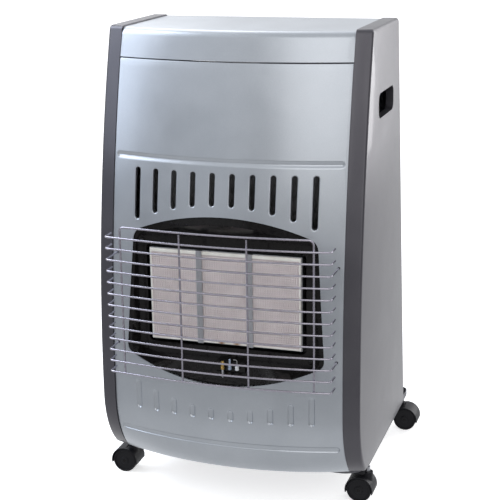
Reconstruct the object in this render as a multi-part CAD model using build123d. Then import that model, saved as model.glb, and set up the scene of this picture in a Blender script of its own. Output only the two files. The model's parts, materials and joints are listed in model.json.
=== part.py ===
from build123d import *
import math
import os

# Portable gas cabinet heater. Sizes in mm, +Z up, front towards -Y.
# The sizes below are given from the cabinet's own datum: X from its middle plane, Z from the floor,
# Y from near the foremost line of the side panels. to_origin() moves finished pieces to the part's origin.

# ------------------------------------------------------------------ cabinet
CABINET_W = 420.0          # across the side panels at their bottom edge
CABINET_TOP_Z = 746.0
PANEL_BOTTOM_Z = 71.0
REAR_TOP_Y = 255.0         # rear edge of a side panel at its top
REAR_BOTTOM_Y = 335.0      # and at its bottom
SIDE_LEAN = 0.287          # degrees that each side panel leans in
NOSE_Y = -7.0              # foremost line of the side panels
UPPER_ARC_R = 1900.0       # long front curve above the nose
UPPER_ARC_Z = 200.0
LOWER_ARC_R = 138.0        # short front curve below the nose
LOWER_ARC_Z = 172.0
SHEET = 1.2                # pressed steel sheet
GAP = 0.3                  # between neighbouring pieces
SCREW_HEAD_R = 3.8
SCREW_HEAD_H = 2.2
SCREW_DOME = 0.6           # share of a head's height that is rounded

# ------------------------------------------------------------------ side panels
SIDE_WALL = 1.2
TRIM_W = 24.4              # width of the front trim face
TRIM_STEP = 7.6            # its inner edge stands this much further forward
TRIM_EDGE_R = 5.0
SIDE_CORNER_R = 8.0
LIP_DEPTH = 10.0
HAND_HOLE_Y = 162.0
HAND_HOLE_DROP = 118.0     # its middle below the cabinet's top
HAND_HOLE_L = 106.0
HAND_HOLE_H = 38.0
HAND_HOLE_R = 12.0
HAND_COLLAR = 12.0

# ------------------------------------------------------------------ front panel and top cover
PANEL_RECESS = 2.0
PANEL_BOW = 27.6           # how far the panel's middle stands in front of its edges
PANEL_FLANGE = 12.0
BAND_SECTIONS = 4          # steps in the height of each curved stretch
COVER_APRON = 45.3         # from the cabinet's top down to the cover's joint with the front panel
COVER_TOP_DROP = 2.5       # the cover lies below the top of the side panels
COVER_EDGE_R = 14.0
COVER_REAR_FLANGE = 12.0
RIB_H = 9.0
RIB_DEPTH = 2.0
RIB_OVER_EYE = 79.9        # the upper rib above the burner opening's top
LOWER_RIB_Z = 121.1
RIB_END = 7.6              # the ribs stop this far from the panel's sides
SLOT_COUNT = 10
SLOT_PITCH = 30.95
SLOT_W = 8.0
SLOT_UNDER_RIB = 16.0      # the open slots end this far below the upper rib
SLOT_OVER_ARCH = 15.5      # from the opening's arch up to each slot
SLOT_RIM = 3.0
BLIND_BOTTOM_Z = 163.2
BLIND_UNDER_ARCH = 39.0
HOOK_HOLE_R = 2.2

# ------------------------------------------------------------------ burner opening and bezel
EYE_TOP_Z = 477.0
EYE_BOTTOM_Z = 219.5
EYE_TOP_R = 347.0
EYE_BOTTOM_R = 352.0
EYE_TOP_HALF = 145.0
EYE_BOTTOM_HALF = 157.7
EYE_TOP_CORNER_R = 22.0
EYE_BOTTOM_CORNER_R = 15.0
BEZEL_WALL = 1.0
BEZEL_FLANGE = 9.0
FUNNEL_Y = -30.0           # where the bezel starts to narrow
BAND_Y = -5.0              # flat band round the burner
BAND_HALF_W = 141.0
BAND_OVER_SILL = 26.5      # the band's lower and upper edges from the opening's
BAND_UNDER_ARCH = 31.0
BAND_CORNER_R = 22.0
POCKET_MARGIN = 7.0        # pocket wall stands this far outside the plaques
POCKET_CORNER_R = 8.0
POCKET_Y = 8.0
BEZEL_SCREW_SIDE = 8.0     # bezel screws from the band's sides, bottom and top
BEZEL_SCREW_LOW = 12.0
BEZEL_SCREW_HIGH = 16.0

# ------------------------------------------------------------------ burner
PLAQUE_COUNT = 3
PLAQUE_PITCH = 79.6
PLAQUE_W = 79.2
PLAQUE_T = 12.0
PLAQUE_EDGE = 0.8
PLAQUE_UNDER = 26.3        # the plaques stop this far below the band's upper edge
PLAQUE_OVER = 29.7         # and this far above its lower edge
PLAQUE_FACE_Y = -10.0
HOLDER_WALL = 1.0
HOLDER_SETBACK = 3.0
HOLDER_LEDGE = 4.0
DIVIDER_W = 9.3
DIVIDER_T = 0.8
PLENUM_W = 72.0
PLENUM_INSET = 4.0         # the plenums' ends inside the plaques'
PLENUM_T = 40.0
PLENUM_EDGE_R = 6.0
PLENUM_WALL = 1.2
MIXER_R = 11.0
MIXER_WALL = 1.0
MIXER_LEN = 70.0
MIXER_MOUTH_R = 15.0
MIXER_MOUTH_H = 12.0
INJECTOR_R = 3.5
INJECTOR_H = 14.0
INJECTOR_NOSE = 0.4        # share of an injector's height that tapers
INJECTOR_GAP = 4.0
MANIFOLD_R = 7.0
MANIFOLD_OVER = 14.0
MANIFOLD_EDGE = 1.0
BRACKET_X = 60.0
BRACKET_W = 16.0
BRACKET_H = 30.0

# ------------------------------------------------------------------ pilot group
PILOT_X = 10.0
PILOT_OVER_SILL = 23.5     # the pilot's middle above the opening's lower edge
PILOT_Y = -17.0
PILOT_PLATE_W = 46.0
PILOT_PLATE_H = 15.0
PILOT_PLATE_T = 1.0
PILOT_HEAD_R = 3.5
PILOT_BODY_RISE = 8.0      # heights of the pilot pieces above their plate's middle
PILOT_CAP_RISE = 10.0
PILOT_CAP_STEP = 1.0
SENSOR_R = 1.6
SENSOR_COLLAR_RISE = 5.0
SENSOR_TIP_RISE = 14.0
CERAMIC_R = 3.0
CERAMIC_RISE = 7.0
CERAMIC_DROP = 3.0
SPARK_WIRE_R = 0.75
SPARK_RISE = 14.0
PILOT_SPACING = 11.5

# ------------------------------------------------------------------ guard
WIRE_R = 1.5
GUARD_WIRES = 13
GUARD_OVER_SILL = 9.8      # the lowest wire above the opening's lower edge
GUARD_UNDER_FRAME = 16.88  # the highest wire below the frame wire's top
GUARD_INSET = 8.1          # the guard's sides from the panel's sides
GUARD_END_Y = -50.0
GUARD_BOW = 14.0
GUARD_BEND_R = 6.0
GUARD_LEG = 18.0
GUARD_HOOKED = (2, 10)     # the wires whose ends reach the panel, counted from the bottom
FRAME_WIRE_HALF_W = 150.0
FRAME_UNDER_ARCH = 16.5    # the frame wire's top below the opening's
FRAME_WIRE_BEND_R = 7.0
UPRIGHT_X = 52.0

# ------------------------------------------------------------------ tray, shield and bottle bay
TRAY_BOTTOM_Z = 58.0
TRAY_HALF_W = 205.0
TRAY_FRONT_Y = 42.0
TRAY_FRONT_R = 40.0
TRAY_REAR_R = 16.0
BOTTLE_R = 154.0
BOTTLE_CLEAR = 2.8
PLATFORM_H = 3.0
PLATFORM_HALF_W = 150.0
PLATFORM_MARGIN = 6.0
SHIELD_Y = 84.0
SHIELD_DROP = 106.0        # its top edge below the cabinet's top
SHIELD_RIBS_X = (98.0, 156.0)   # stiffening ribs on each side of the middle
SHIELD_RIB_W = 14.0
SHIELD_RIB_DEPTH = 3.0
SHIELD_RIB_SHARE = 0.8     # length of the ribs, as a share of the shield's height

# ------------------------------------------------------------------ rear
COVER_HEAD_DROP = 78.0     # the rear cover's top edge below the cabinet's top
BULGE_DROP = 8.0           # the bulge ends this far below that edge
BULGE_EDGE_R = 14.0
VENT_W = 60.0
VENT_H = 5.0
VENT_PITCH = 14.0
VENT_ROWS = 5
COVER_VENT_Z = 110.0
REAR_SHEET_HALF_W = 202.0
REAR_SHEET_R = 6.0
REAR_SCREW_SIDE = 8.0      # rear screws from the sheet's sides and ends
REAR_SCREW_END = 12.0
UPPER_VENT_X = -70.0
UPPER_VENT_DROP = 41.0     # the vents' middle below the cabinet's top
UPPER_VENT_ROWS = 3
UPPER_VENT_W = 90.0

# ------------------------------------------------------------------ valve and knob
KNOB_X = 85.0
KNOB_DROP = 39.0           # its axis below the cabinet's top
KNOB_R = 19.0
KNOB_H = 17.0
KNOB_GRIP_W = 7.0
KNOB_SKIRT_R = 21.0
KNOB_SKIRT_H = 4.0
KNOB_SKIRT_EDGE_R = 1.5
KNOB_CUP_H = 7.0
KNOB_GRIP_SHORT = 1.0      # the grip bar ends this far inside the cup's rim
KNOB_GRIP_EDGE_R = 2.0
MARK_W = 1.6
MARK_L = 8.0
MARK_DEPTH = 0.6
MARK_INSET = 5.0
KNOB_PUSH = 5.0
STEM_R = 3.0
STEM_FIT = 0.05
STEM_L = 40.0
STEM_IN_KNOB = 11.0
PLUNGER_R = 6.0
PLUNGER_L = 12.0
STEM_HOLE_R = 7.5
VALVE_W = 44.0
VALVE_H = 30.0
VALVE_T = 34.0
VALVE_EDGE_R = 4.0
SPRING_ROOM = 12.0         # behind the pushed-in plunger
VALVE_BACK = 10.0          # from the rear panel's inside to the valve body
VALVE_COLLAR_WALL = 4.0
IGNITER_R = 7.0
IGNITER_OUT = 6.0          # its axis from the valve's side
IGNITER_L = 27.2
IGNITER_LINK = 8.0
IGNITER_LINK_L = 17.0
NOZZLE_R = 4.5
NOZZLE_L = 24.0
NOZZLE_COLLAR_R = 8.0
NOZZLE_COLLAR_L = 8.0
NOZZLE_BORE_R = 2.5
BRACKET_SHEET = 2.0
VALVE_BRACKET_ROOM = 9.0   # between the valve and the bracket's legs
VALVE_OUTLET_X = 9.0       # each pipe leaves the valve this far from its middle
SUPPLY_PIPE_R = 3.0
SUPPLY_BEND_R = 12.0
PILOT_PIPE_R = 2.0
PIPE_DROP_Y = 62.0
PIPE_OVER_SHIELD = 36.0    # the pipes cross this far above the shield

# ------------------------------------------------------------------ casters
FRONT_KINGPIN_X = 201.5
REAR_KINGPIN_X = 194.0
CASTER_SETBACK = 44.0      # front kingpins behind the tray's front edge
TRAIL = 11.0
WHEEL_R = 20.0
WHEEL_W = 14.0
WHEEL_HUB_R = 6.0
WHEEL_DISH = 1.5
WHEEL_EDGE_R = 1.5
WHEEL_RIM = 3.0
WEB_T = 5.0
HOOD_GAP = 1.0
HOOD_WALL = 1.6
HOOD_W = 36.0
HOOD_LOW_ANGLE = 12.0      # the hood's lips end this far below the axle, in degrees
WHEEL_GAP = 0.5
AXLE_R = 2.5
AXLE_INSET = 0.5           # its ends inside the wheels' outer faces
RUN_FIT = 0.05
BOSS_R = 8.5
CASTER_STEM_R = 4.0
SOCKET_GAP = 0.3
SOCKET_W = 36.0
SOCKET_L = 32.0
SOCKET_H = 10.0
SOCKET_OUTSET = 6.0        # the sockets stop this far inside the tray's edge line
SOCKET_R = 4.0

# ------------------------------------------------------------------ worked out from the sizes above
HALF_W = CABINET_W / 2
EDGE_X = HALF_W - TRIM_W
EDGE_Y = NOSE_Y - TRIM_STEP + PANEL_RECESS
RIB_HALF_L = EDGE_X - RIB_END
GUARD_HALF_W = EDGE_X - GUARD_INSET
GUARD_SPAN = GUARD_HALF_W - WIRE_R - GUARD_BEND_R
GUARD_R = (GUARD_SPAN ** 2 + GUARD_BOW ** 2) / (2 * GUARD_BOW)
BOW_R = (EDGE_X ** 2 + PANEL_BOW ** 2) / (2 * PANEL_BOW)
BOW_CENTRE_Y = EDGE_Y - PANEL_BOW + BOW_R
COVER_TOP_Z = CABINET_TOP_Z - COVER_TOP_DROP
COVER_SPLIT_Z = CABINET_TOP_Z - COVER_APRON
HAND_HOLE_Z = CABINET_TOP_Z - HAND_HOLE_DROP
COVER_HEAD_Z = CABINET_TOP_Z - COVER_HEAD_DROP
BULGE_TOP_Z = COVER_HEAD_Z - BULGE_DROP
UPPER_VENT_Z = CABINET_TOP_Z - UPPER_VENT_DROP
KNOB_Z = CABINET_TOP_Z - KNOB_DROP
SHIELD_TOP_Z = CABINET_TOP_Z - SHIELD_DROP
PIPE_OVER_Z = SHIELD_TOP_Z + PIPE_OVER_SHIELD
UPPER_RIB_Z = EYE_TOP_Z + RIB_OVER_EYE
SLOT_TOP_Z = UPPER_RIB_Z - SLOT_UNDER_RIB
BAND_LOW_Z = EYE_BOTTOM_Z + BAND_OVER_SILL
BAND_HIGH_Z = EYE_TOP_Z - BAND_UNDER_ARCH
PLAQUE_LOW_Z = BAND_LOW_Z + PLAQUE_OVER
PLAQUE_H = BAND_HIGH_Z - PLAQUE_UNDER - PLAQUE_LOW_Z
PLAQUE_Z = PLAQUE_LOW_Z + PLAQUE_H / 2
PLENUM_H = PLAQUE_H - 2 * PLENUM_INSET
PILOT_Z = EYE_BOTTOM_Z + PILOT_OVER_SILL
FRAME_WIRE_TOP_Z = EYE_TOP_Z - FRAME_UNDER_ARCH
GUARD_LOW_Z = EYE_BOTTOM_Z + GUARD_OVER_SILL
GUARD_PITCH = (FRAME_WIRE_TOP_Z - GUARD_UNDER_FRAME - GUARD_LOW_Z) / (GUARD_WIRES - 1)
REAR_TILT = math.degrees(math.atan2(REAR_BOTTOM_Y - REAR_TOP_Y, CABINET_TOP_Z - PANEL_BOTTOM_Z))
BOTTLE_Y = SHIELD_Y + SHEET + BOTTLE_CLEAR + BOTTLE_R
BULGE_R = BOTTLE_R + BOTTLE_CLEAR
BURNER_HALF_W = (PLAQUE_COUNT * PLAQUE_PITCH) / 2
GUARD_FRONT_Y = GUARD_END_Y - GUARD_BOW - WIRE_R
TRAY_REAR_Y = BOTTLE_Y + BULGE_R + SHEET
CASTER_FRONT_Y = TRAY_FRONT_Y + CASTER_SETBACK
CASTER_REAR_Y = TRAY_REAR_Y - SOCKET_L / 2
AXLE_Z = WHEEL_R
VALVE_BORE_R = PLUNGER_R + RUN_FIT
VALVE_COLLAR_R = VALVE_BORE_R + VALVE_COLLAR_WALL
HOOD_R = WHEEL_R + HOOD_GAP + HOOD_WALL
SOCKET_Z = TRAY_BOTTOM_Z - SOCKET_H
WHEEL_Y = (WEB_T + WHEEL_W) / 2 + WHEEL_GAP
ORIGIN_Y = (GUARD_FRONT_Y + TRAY_REAR_Y) / 2
FAR = 400.0                # longer than any piece, for cutting tools

pieces = {}
casters = {
    "front_left": (-FRONT_KINGPIN_X, CASTER_FRONT_Y, -TRAIL),
    "front_right": (FRONT_KINGPIN_X, CASTER_FRONT_Y, -TRAIL),
    "rear_left": (-REAR_KINGPIN_X, CASTER_REAR_Y, -TRAIL),
    "rear_right": (REAR_KINGPIN_X, CASTER_REAR_Y, TRAIL),
}


def to_origin(shape):
    """Move a finished piece from the cabinet's datum to the part's origin."""
    return Pos(0, -ORIGIN_Y, 0) * shape


def keep(name, *solids):
    """File a piece, or a group of like pieces, under its name."""
    pieces[name] = solids[0] if len(solids) == 1 else Compound(children=list(solids))


def mirrored(shape):
    """The same shape on the other side of the cabinet's middle plane."""
    return mirror(shape, about=Plane.YZ)


# ------------------------------------------------------------------ the cabinet's curves
def front_y(z):
    """Front edge of a side panel at a height."""
    if z >= UPPER_ARC_Z:
        return NOSE_Y + UPPER_ARC_R - math.sqrt(UPPER_ARC_R ** 2 - (z - UPPER_ARC_Z) ** 2)
    if z <= LOWER_ARC_Z:
        return NOSE_Y + LOWER_ARC_R - math.sqrt(LOWER_ARC_R ** 2 - (LOWER_ARC_Z - z) ** 2)
    return NOSE_Y


def rear_y(z):
    """Rear edge of a side panel at a height."""
    share = (z - PANEL_BOTTOM_Z) / (CABINET_TOP_Z - PANEL_BOTTOM_Z)
    return REAR_BOTTOM_Y + (REAR_TOP_Y - REAR_BOTTOM_Y) * share


def bow_y(x, depth=0.0):
    """Plan curve of the bowed front at nose height, a depth behind its face."""
    return BOW_CENTRE_Y - math.sqrt((BOW_R - depth) ** 2 - x ** 2)


def side_outline(forward, inset):
    """Outline of a side panel seen from the side, its front edge moved forward and all of it inset."""
    top, bottom = CABINET_TOP_Z, PANEL_BOTTOM_Z
    mid_up, mid_low = (top + UPPER_ARC_Z) / 2, (bottom + LOWER_ARC_Z) / 2
    points = {z: (front_y(z) - forward, z) for z in (top, mid_up, UPPER_ARC_Z, LOWER_ARC_Z, mid_low, bottom)}
    edges = [
        ThreePointArc(points[top], points[mid_up], points[UPPER_ARC_Z]),
        Line(points[UPPER_ARC_Z], points[LOWER_ARC_Z]),
        ThreePointArc(points[LOWER_ARC_Z], points[mid_low], points[bottom]),
        Line(points[bottom], (REAR_BOTTOM_Y, bottom)),
        Line((REAR_BOTTOM_Y, bottom), (REAR_TOP_Y, top)),
        Line((REAR_TOP_Y, top), points[top]),
    ]
    outline = make_face(Curve() + edges)
    ends = outline.vertices().group_by(Axis.Y)
    outline = fillet(ends[0] + ends[-1], SIDE_CORNER_R)
    if inset > 0:
        outline = offset(outline, -inset, kind=Kind.INTERSECTION)
    return outline


def side_block(inset, x_out, x_in):
    """Block between two side outlines, its front coming forward towards the middle."""
    step = TRIM_STEP / TRIM_W
    outer = Plane.YZ.offset(x_out) * side_outline((HALF_W - x_out) * step, inset)
    inner = Plane.YZ.offset(x_in) * side_outline((HALF_W - x_in) * step, inset)
    return loft([inner, outer], ruled=True)


def leaned(shape):
    """Lean a right-hand shape in with its side panel."""
    return shape.rotate(Axis((HALF_W, 0, PANEL_BOTTOM_Z), (0, 1, 0)), -SIDE_LEAN)


def beyond(x):
    """Cutting blocks that follow both leaning sides at a distance from the middle."""
    block = Pos(x + TRIM_W, REAR_TOP_Y / 2, CABINET_TOP_Z / 2) * Box(2 * TRIM_W, 2 * FAR, 3 * FAR)
    right = leaned(block)
    return right + mirrored(right)


def face_y(x, z, depth=0.0):
    """Depth of the bowed front, or of a layer behind it, at a distance from the middle and a height."""
    y = bow_y(x, depth)
    if z > UPPER_ARC_Z:
        centre, rise = NOSE_Y + UPPER_ARC_R, z - UPPER_ARC_Z
    elif z < LOWER_ARC_Z:
        centre, rise = NOSE_Y + LOWER_ARC_R, LOWER_ARC_Z - z
    else:
        return y
    return centre - math.sqrt((centre - y) ** 2 - rise ** 2)


def bow_arc(z, depth, half_w):
    """The bow across the front at a height."""
    middle, end = face_y(0, z, depth), face_y(half_w, z, depth)
    return ThreePointArc((-half_w, end, z), (0, middle, z), (half_w, end, z))


def bow_strip(z, depth0, depth1):
    """Plan of the bowed front between two depths, wider than the cabinet's front."""
    near, far = bow_arc(z, depth0, EDGE_X + TRIM_W / 2), bow_arc(z, depth1, EDGE_X + TRIM_W / 2)
    return make_face(Curve() + [near, Line(near @ 1, far @ 1), far, Line(far @ 0, near @ 0)])


def bowed_band(depth0, depth1, z0, z1):
    """The bowed front between two depths behind its face and two heights."""
    stretches = [
        (z0, min(z1, LOWER_ARC_Z), BAND_SECTIONS),
        (max(z0, LOWER_ARC_Z), min(z1, UPPER_ARC_Z), 1),
        (max(z0, UPPER_ARC_Z), z1, BAND_SECTIONS),
    ]
    band = Part()
    for low, high, count in stretches:
        if high > low:
            heights = [low + (high - low) * i / count for i in range(count + 1)]
            band += loft([bow_strip(z, depth0, depth1) for z in heights], ruled=count == 1)
    return band


def prism(outline, y0, y1):
    """An outline drawn from the front, run from one depth to another."""
    return extrude(Plane.XZ.offset(-y1) * outline, amount=y1 - y0)


# ------------------------------------------------------------------ side panels
def hand_hole(grow):
    """Outline of the hand hole, seen from the side."""
    hole = RectangleRounded(HAND_HOLE_L + 2 * grow, HAND_HOLE_H + 2 * grow, HAND_HOLE_R + grow)
    return Plane.YZ * Pos(HAND_HOLE_Y, HAND_HOLE_Z) * hole


def side_panel():
    """The right side panel: outer wall, trim face, bands with a lip all round, and the hand hole."""
    lip_x = HALF_W - TRIM_W
    body = side_block(0, HALF_W, lip_x)
    body = fillet(body.faces().sort_by(Axis.X)[-1].edges(), TRIM_EDGE_R)
    cavity = side_block(SIDE_WALL, HALF_W - SIDE_WALL, lip_x + SIDE_WALL)
    cavity = fillet(cavity.faces().sort_by(Axis.X)[-1].edges(), TRIM_EDGE_R - SIDE_WALL)
    mouth = side_block(SIDE_WALL + LIP_DEPTH, lip_x + 2 * SIDE_WALL, lip_x - SIDE_WALL)
    body = body - cavity - mouth
    collar = extrude(hand_hole(SIDE_WALL), amount=HAND_COLLAR - SIDE_WALL / 2)
    body += Pos(HALF_W - HAND_COLLAR, 0, 0) * collar
    body -= Pos(HALF_W - FAR / 2, 0, 0) * extrude(hand_hole(0), amount=FAR)
    return leaned(body)


# ------------------------------------------------------------------ front panel and top cover
def arch_z(x, low=False):
    """Height of the burner opening's upper or lower edge."""
    if low:
        return EYE_BOTTOM_Z + EYE_BOTTOM_R - math.sqrt(EYE_BOTTOM_R ** 2 - x ** 2)
    return EYE_TOP_Z - EYE_TOP_R + math.sqrt(EYE_TOP_R ** 2 - x ** 2)


def eye_outline(grow=0.0):
    """The burner opening: two arcs joined by slanting sides with round corners."""
    t, b = EYE_TOP_HALF, EYE_BOTTOM_HALF
    outline = make_face(
        Curve()
        + [
            ThreePointArc((-t, arch_z(t)), (0, EYE_TOP_Z), (t, arch_z(t))),
            Line((t, arch_z(t)), (b, arch_z(b, low=True))),
            ThreePointArc((b, arch_z(b, low=True)), (0, EYE_BOTTOM_Z), (-b, arch_z(b, low=True))),
            Line((-b, arch_z(b, low=True)), (-t, arch_z(t))),
        ]
    )
    outline = fillet(outline.vertices().group_by(Axis.Y)[-1], EYE_TOP_CORNER_R)
    outline = fillet(outline.vertices().group_by(Axis.Y)[0], EYE_BOTTOM_CORNER_R)
    return offset(outline, grow, kind=Kind.INTERSECTION) if grow else outline


def slot_places():
    """Distance of each slot from the middle."""
    return [(i - (SLOT_COUNT - 1) / 2) * SLOT_PITCH for i in range(SLOT_COUNT)]


def upright_slot(x, z0, z1, width):
    """A round-ended upright slot."""
    return Pos(x, (z0 + z1) / 2) * Rot(0, 0, 90) * SlotOverall(z1 - z0, width)


def open_slot(x, grow, depth0, depth1):
    """One open slot above the burner, from one depth to another square to the panel's face."""
    low, high = arch_z(x) + SLOT_OVER_ARCH, SLOT_TOP_Z
    low, high = Vector(x, face_y(x, low), low), Vector(x, face_y(x, high), high)
    across = Vector(math.sqrt(BOW_R ** 2 - x ** 2), x, 0)
    face = Plane((low + high) / 2, x_dir=across, z_dir=across.cross(high - low))
    outline = Rot(0, 0, 90) * SlotOverall((high - low).length + 2 * grow, SLOT_W + 2 * grow)
    return extrude(face.offset(-depth1) * outline, amount=depth1 - depth0)


def blind_presses(grow):
    """The two long ribs and the ten blind slots pressed into the panel."""
    w = SLOT_W + 2 * grow
    low = BLIND_BOTTOM_Z - grow
    outlines = [upright_slot(x, low, arch_z(x, low=True) - BLIND_UNDER_ARCH + grow, w) for x in slot_places()]
    for z in (UPPER_RIB_Z, LOWER_RIB_Z):
        outlines.append(Pos(0, z) * SlotOverall(2 * (RIB_HALF_L + grow), RIB_H + 2 * grow))
    return outlines


def hook_holes():
    """Centres of the holes that the guard's hooked wires enter."""
    heights = [GUARD_LOW_Z + i * GUARD_PITCH for i in GUARD_HOOKED]
    return [(side * guard_leg_x(), z) for side in (-1, 1) for z in heights]


def pressed(outlines, depth0, depth1, z0, z1):
    """The part of the bowed front that lies behind a set of outlines."""
    run = [prism(outline, -FAR / 2, FAR / 4) for outline in outlines]
    return bowed_band(depth0, depth1, z0, z1) & (Part() + run)


def front_panel():
    """The bowed front: a sheet with returned edges, pressed ribs, slots and the burner opening."""
    z0, z1 = PANEL_BOTTOM_Z, COVER_SPLIT_Z - GAP
    panel = bowed_band(0, PANEL_FLANGE, z0, z1) - beyond(EDGE_X - GAP)
    hollow = bowed_band(SHEET, 2 * PANEL_FLANGE, z0 + SHEET, z1 - SHEET) - beyond(EDGE_X - GAP - SHEET)
    panel -= hollow
    panel += pressed(blind_presses(SHEET), SHEET / 2, RIB_DEPTH + SHEET, z0, z1)
    panel -= pressed(blind_presses(0), -SHEET, RIB_DEPTH, z0, z1)
    panel += [open_slot(x, SHEET, SHEET / 3, SHEET + SLOT_RIM) for x in slot_places()]
    panel -= [open_slot(x, 0, -SLOT_RIM, SHEET + 2 * SLOT_RIM) for x in slot_places()]
    panel -= prism(eye_outline(), -FAR / 4, FAR / 4)
    return panel - [prism(Pos(x, z) * Circle(HOOK_HOLE_R), -FAR / 4, FAR / 4) for x, z in hook_holes()]


def cover_block(inset):
    """The top cover's outer form, or its inside when inset."""
    top = COVER_TOP_Z - inset
    low = COVER_SPLIT_Z if inset == 0 else COVER_SPLIT_Z - FAR / 4
    nose = bowed_band(inset, 4 * PANEL_BOW, low, top)
    near, far = SHIELD_Y, REAR_BOTTOM_Y
    rear = Pos(0, (near + far) / 2, (low + top) / 2) * Box(2 * EDGE_X + TRIM_W, far - near, top - low)
    block = nose + rear
    front_edge = block.edges().filter_by(lambda e: abs(e.center().Z - top) < 0.01).sort_by(Axis.Y)[0]
    block = fillet(front_edge, COVER_EDGE_R - inset)
    return block - beyond(EDGE_X - GAP - inset) - behind_rear(-GAP - inset)


def behind_rear(away):
    """Everything behind the leaning rear plane, moved back by a distance."""
    block = Pos(0, FAR / 2 + away, 0) * Box(2 * FAR, FAR, 4 * FAR)
    return Pos(0, REAR_TOP_Y, CABINET_TOP_Z) * Rot(REAR_TILT, 0, 0) * block


def top_cover():
    """The cover: top sheet, bowed apron, turned-down sides and a short rear flange."""
    cover = cover_block(0) - cover_block(SHEET)
    mid_y = rear_y(COVER_SPLIT_Z)
    opening_top = COVER_TOP_Z - COVER_REAR_FLANGE
    window = Pos(0, mid_y, opening_top - FAR / 4) * Box(2 * (EDGE_X - 4 * SHEET), 4 * PANEL_BOW, FAR / 2)
    return cover - window


# ------------------------------------------------------------------ bezel
def band_outline(grow=0.0):
    """Rounded rectangle at the foot of the bezel's funnel."""
    height = BAND_HIGH_Z - BAND_LOW_Z
    shape = RectangleRounded(2 * (BAND_HALF_W + grow), height + 2 * grow, BAND_CORNER_R + grow)
    return Pos(0, (BAND_HIGH_Z + BAND_LOW_Z) / 2) * shape


def pocket_outline(margin, radius):
    """Rectangle round the three plaques."""
    shape = RectangleRounded(2 * (BURNER_HALF_W + margin), PLAQUE_H + 2 * margin, radius)
    return Pos(0, PLAQUE_Z) * shape


def bezel_space(grow):
    """The room inside the bezel, or its outside when grown."""
    mouth = Plane.XZ.offset(-FUNNEL_Y) * eye_outline(grow)
    foot = Plane.XZ.offset(-BAND_Y) * band_outline(grow)
    space = loft([foot, mouth], ruled=True) + prism(eye_outline(grow), 3 * FUNNEL_Y, FUNNEL_Y)
    space += prism(band_outline(grow), BAND_Y - GAP, BAND_Y + grow)
    pocket = pocket_outline(POCKET_MARGIN + grow, POCKET_CORNER_R + grow)
    return space + prism(pocket, BAND_Y - GAP, POCKET_Y + grow)


def burner_bezel():
    """Dished surround: flange behind the front panel, funnel, flat band and a pocket with its window."""
    inside = bezel_space(0)
    bezel = bezel_space(BEZEL_WALL)
    back = SHEET + GAP
    bezel -= bowed_band(-FAR / 4, back, PANEL_BOTTOM_Z, COVER_SPLIT_Z)
    flange = bowed_band(back, back + BEZEL_WALL, PANEL_BOTTOM_Z, COVER_SPLIT_Z)
    bezel += flange & prism(eye_outline(BEZEL_FLANGE), -FAR / 4, FAR / 4)
    bezel -= inside
    window = pocket_outline(HOLDER_WALL + 2 * GAP, 2 * HOLDER_WALL)
    bezel -= prism(window, 0, 2 * POCKET_Y)
    pilot_x, pilot_y = PILOT_X - PILOT_SPACING, pilot_piece_y()
    return bezel - cylinder_z(pilot_x, pilot_y, EYE_BOTTOM_Z - PILOT_PLATE_H, PILOT_Z, PILOT_HEAD_R)


def bezel_screw_places():
    """Corners of the flat band where the bezel is screwed down."""
    x = BAND_HALF_W - BEZEL_SCREW_SIDE
    heights = (BAND_LOW_Z + BEZEL_SCREW_LOW, BAND_HIGH_Z - BEZEL_SCREW_HIGH)
    return [(side * x, z) for side in (-1, 1) for z in heights]


def screw_head(radius, height):
    """Low domed screw head, standing on XY."""
    head = Cylinder(radius, height, align=(Align.CENTER, Align.CENTER, Align.MIN))
    return fillet(head.faces().sort_by(Axis.Z)[-1].edges(), height * SCREW_DOME)


def bezel_screws():
    """Four screws on the bezel's flat band."""
    heads = []
    for x, z in bezel_screw_places():
        heads.append(Pos(x, BAND_Y, z) * Rot(90, 0, 0) * screw_head(SCREW_HEAD_R, SCREW_HEAD_H))
    return heads


# ------------------------------------------------------------------ burner
def plaque_places():
    """Middle of each plaque across the burner."""
    return [(i - (PLAQUE_COUNT - 1) / 2) * PLAQUE_PITCH for i in range(PLAQUE_COUNT)]


def plaque(x):
    """One ceramic plaque with chamfered front edges."""
    front = Pos(x, PLAQUE_FACE_Y + PLAQUE_T / 2, PLAQUE_Z) * Box(PLAQUE_W, PLAQUE_T, PLAQUE_H)
    return chamfer(front.edges().group_by(Axis.Y)[0], PLAQUE_EDGE)


def plaque_holder():
    """Sheet frame round the plaques with a ledge behind them and two divider strips in front."""
    wall = HOLDER_WALL
    front, back = PLAQUE_FACE_Y + HOLDER_SETBACK, PLAQUE_FACE_Y + PLAQUE_T + GAP + wall
    frame = prism(pocket_outline(wall + GAP, wall + GAP), front, back)
    frame -= prism(pocket_outline(GAP, GAP), front - wall, back - wall)
    for x in plaque_places():
        opening = Pos(x, PLAQUE_Z) * Rectangle(PLAQUE_W - 2 * HOLDER_LEDGE, PLAQUE_H - 2 * HOLDER_LEDGE)
        frame -= prism(opening, 0, 2 * back)
    for x in plaque_places()[:-1]:
        frame += divider(x + PLAQUE_PITCH / 2)
    return frame


def divider(x):
    """Strip over the joint of two plaques, bent back to the frame above and below them."""
    height = PLAQUE_H + 2 * (HOLDER_WALL + GAP)
    reach = HOLDER_SETBACK + DIVIDER_T + GAP + HOLDER_WALL
    y = PLAQUE_FACE_Y - GAP - DIVIDER_T
    strip = Pos(x, y + reach / 2, PLAQUE_Z) * Box(DIVIDER_W, reach, height)
    room = Pos(x, y + DIVIDER_T + reach / 2, PLAQUE_Z) * Box(2 * DIVIDER_W, reach, PLAQUE_H + 2 * GAP)
    return strip - room


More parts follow.
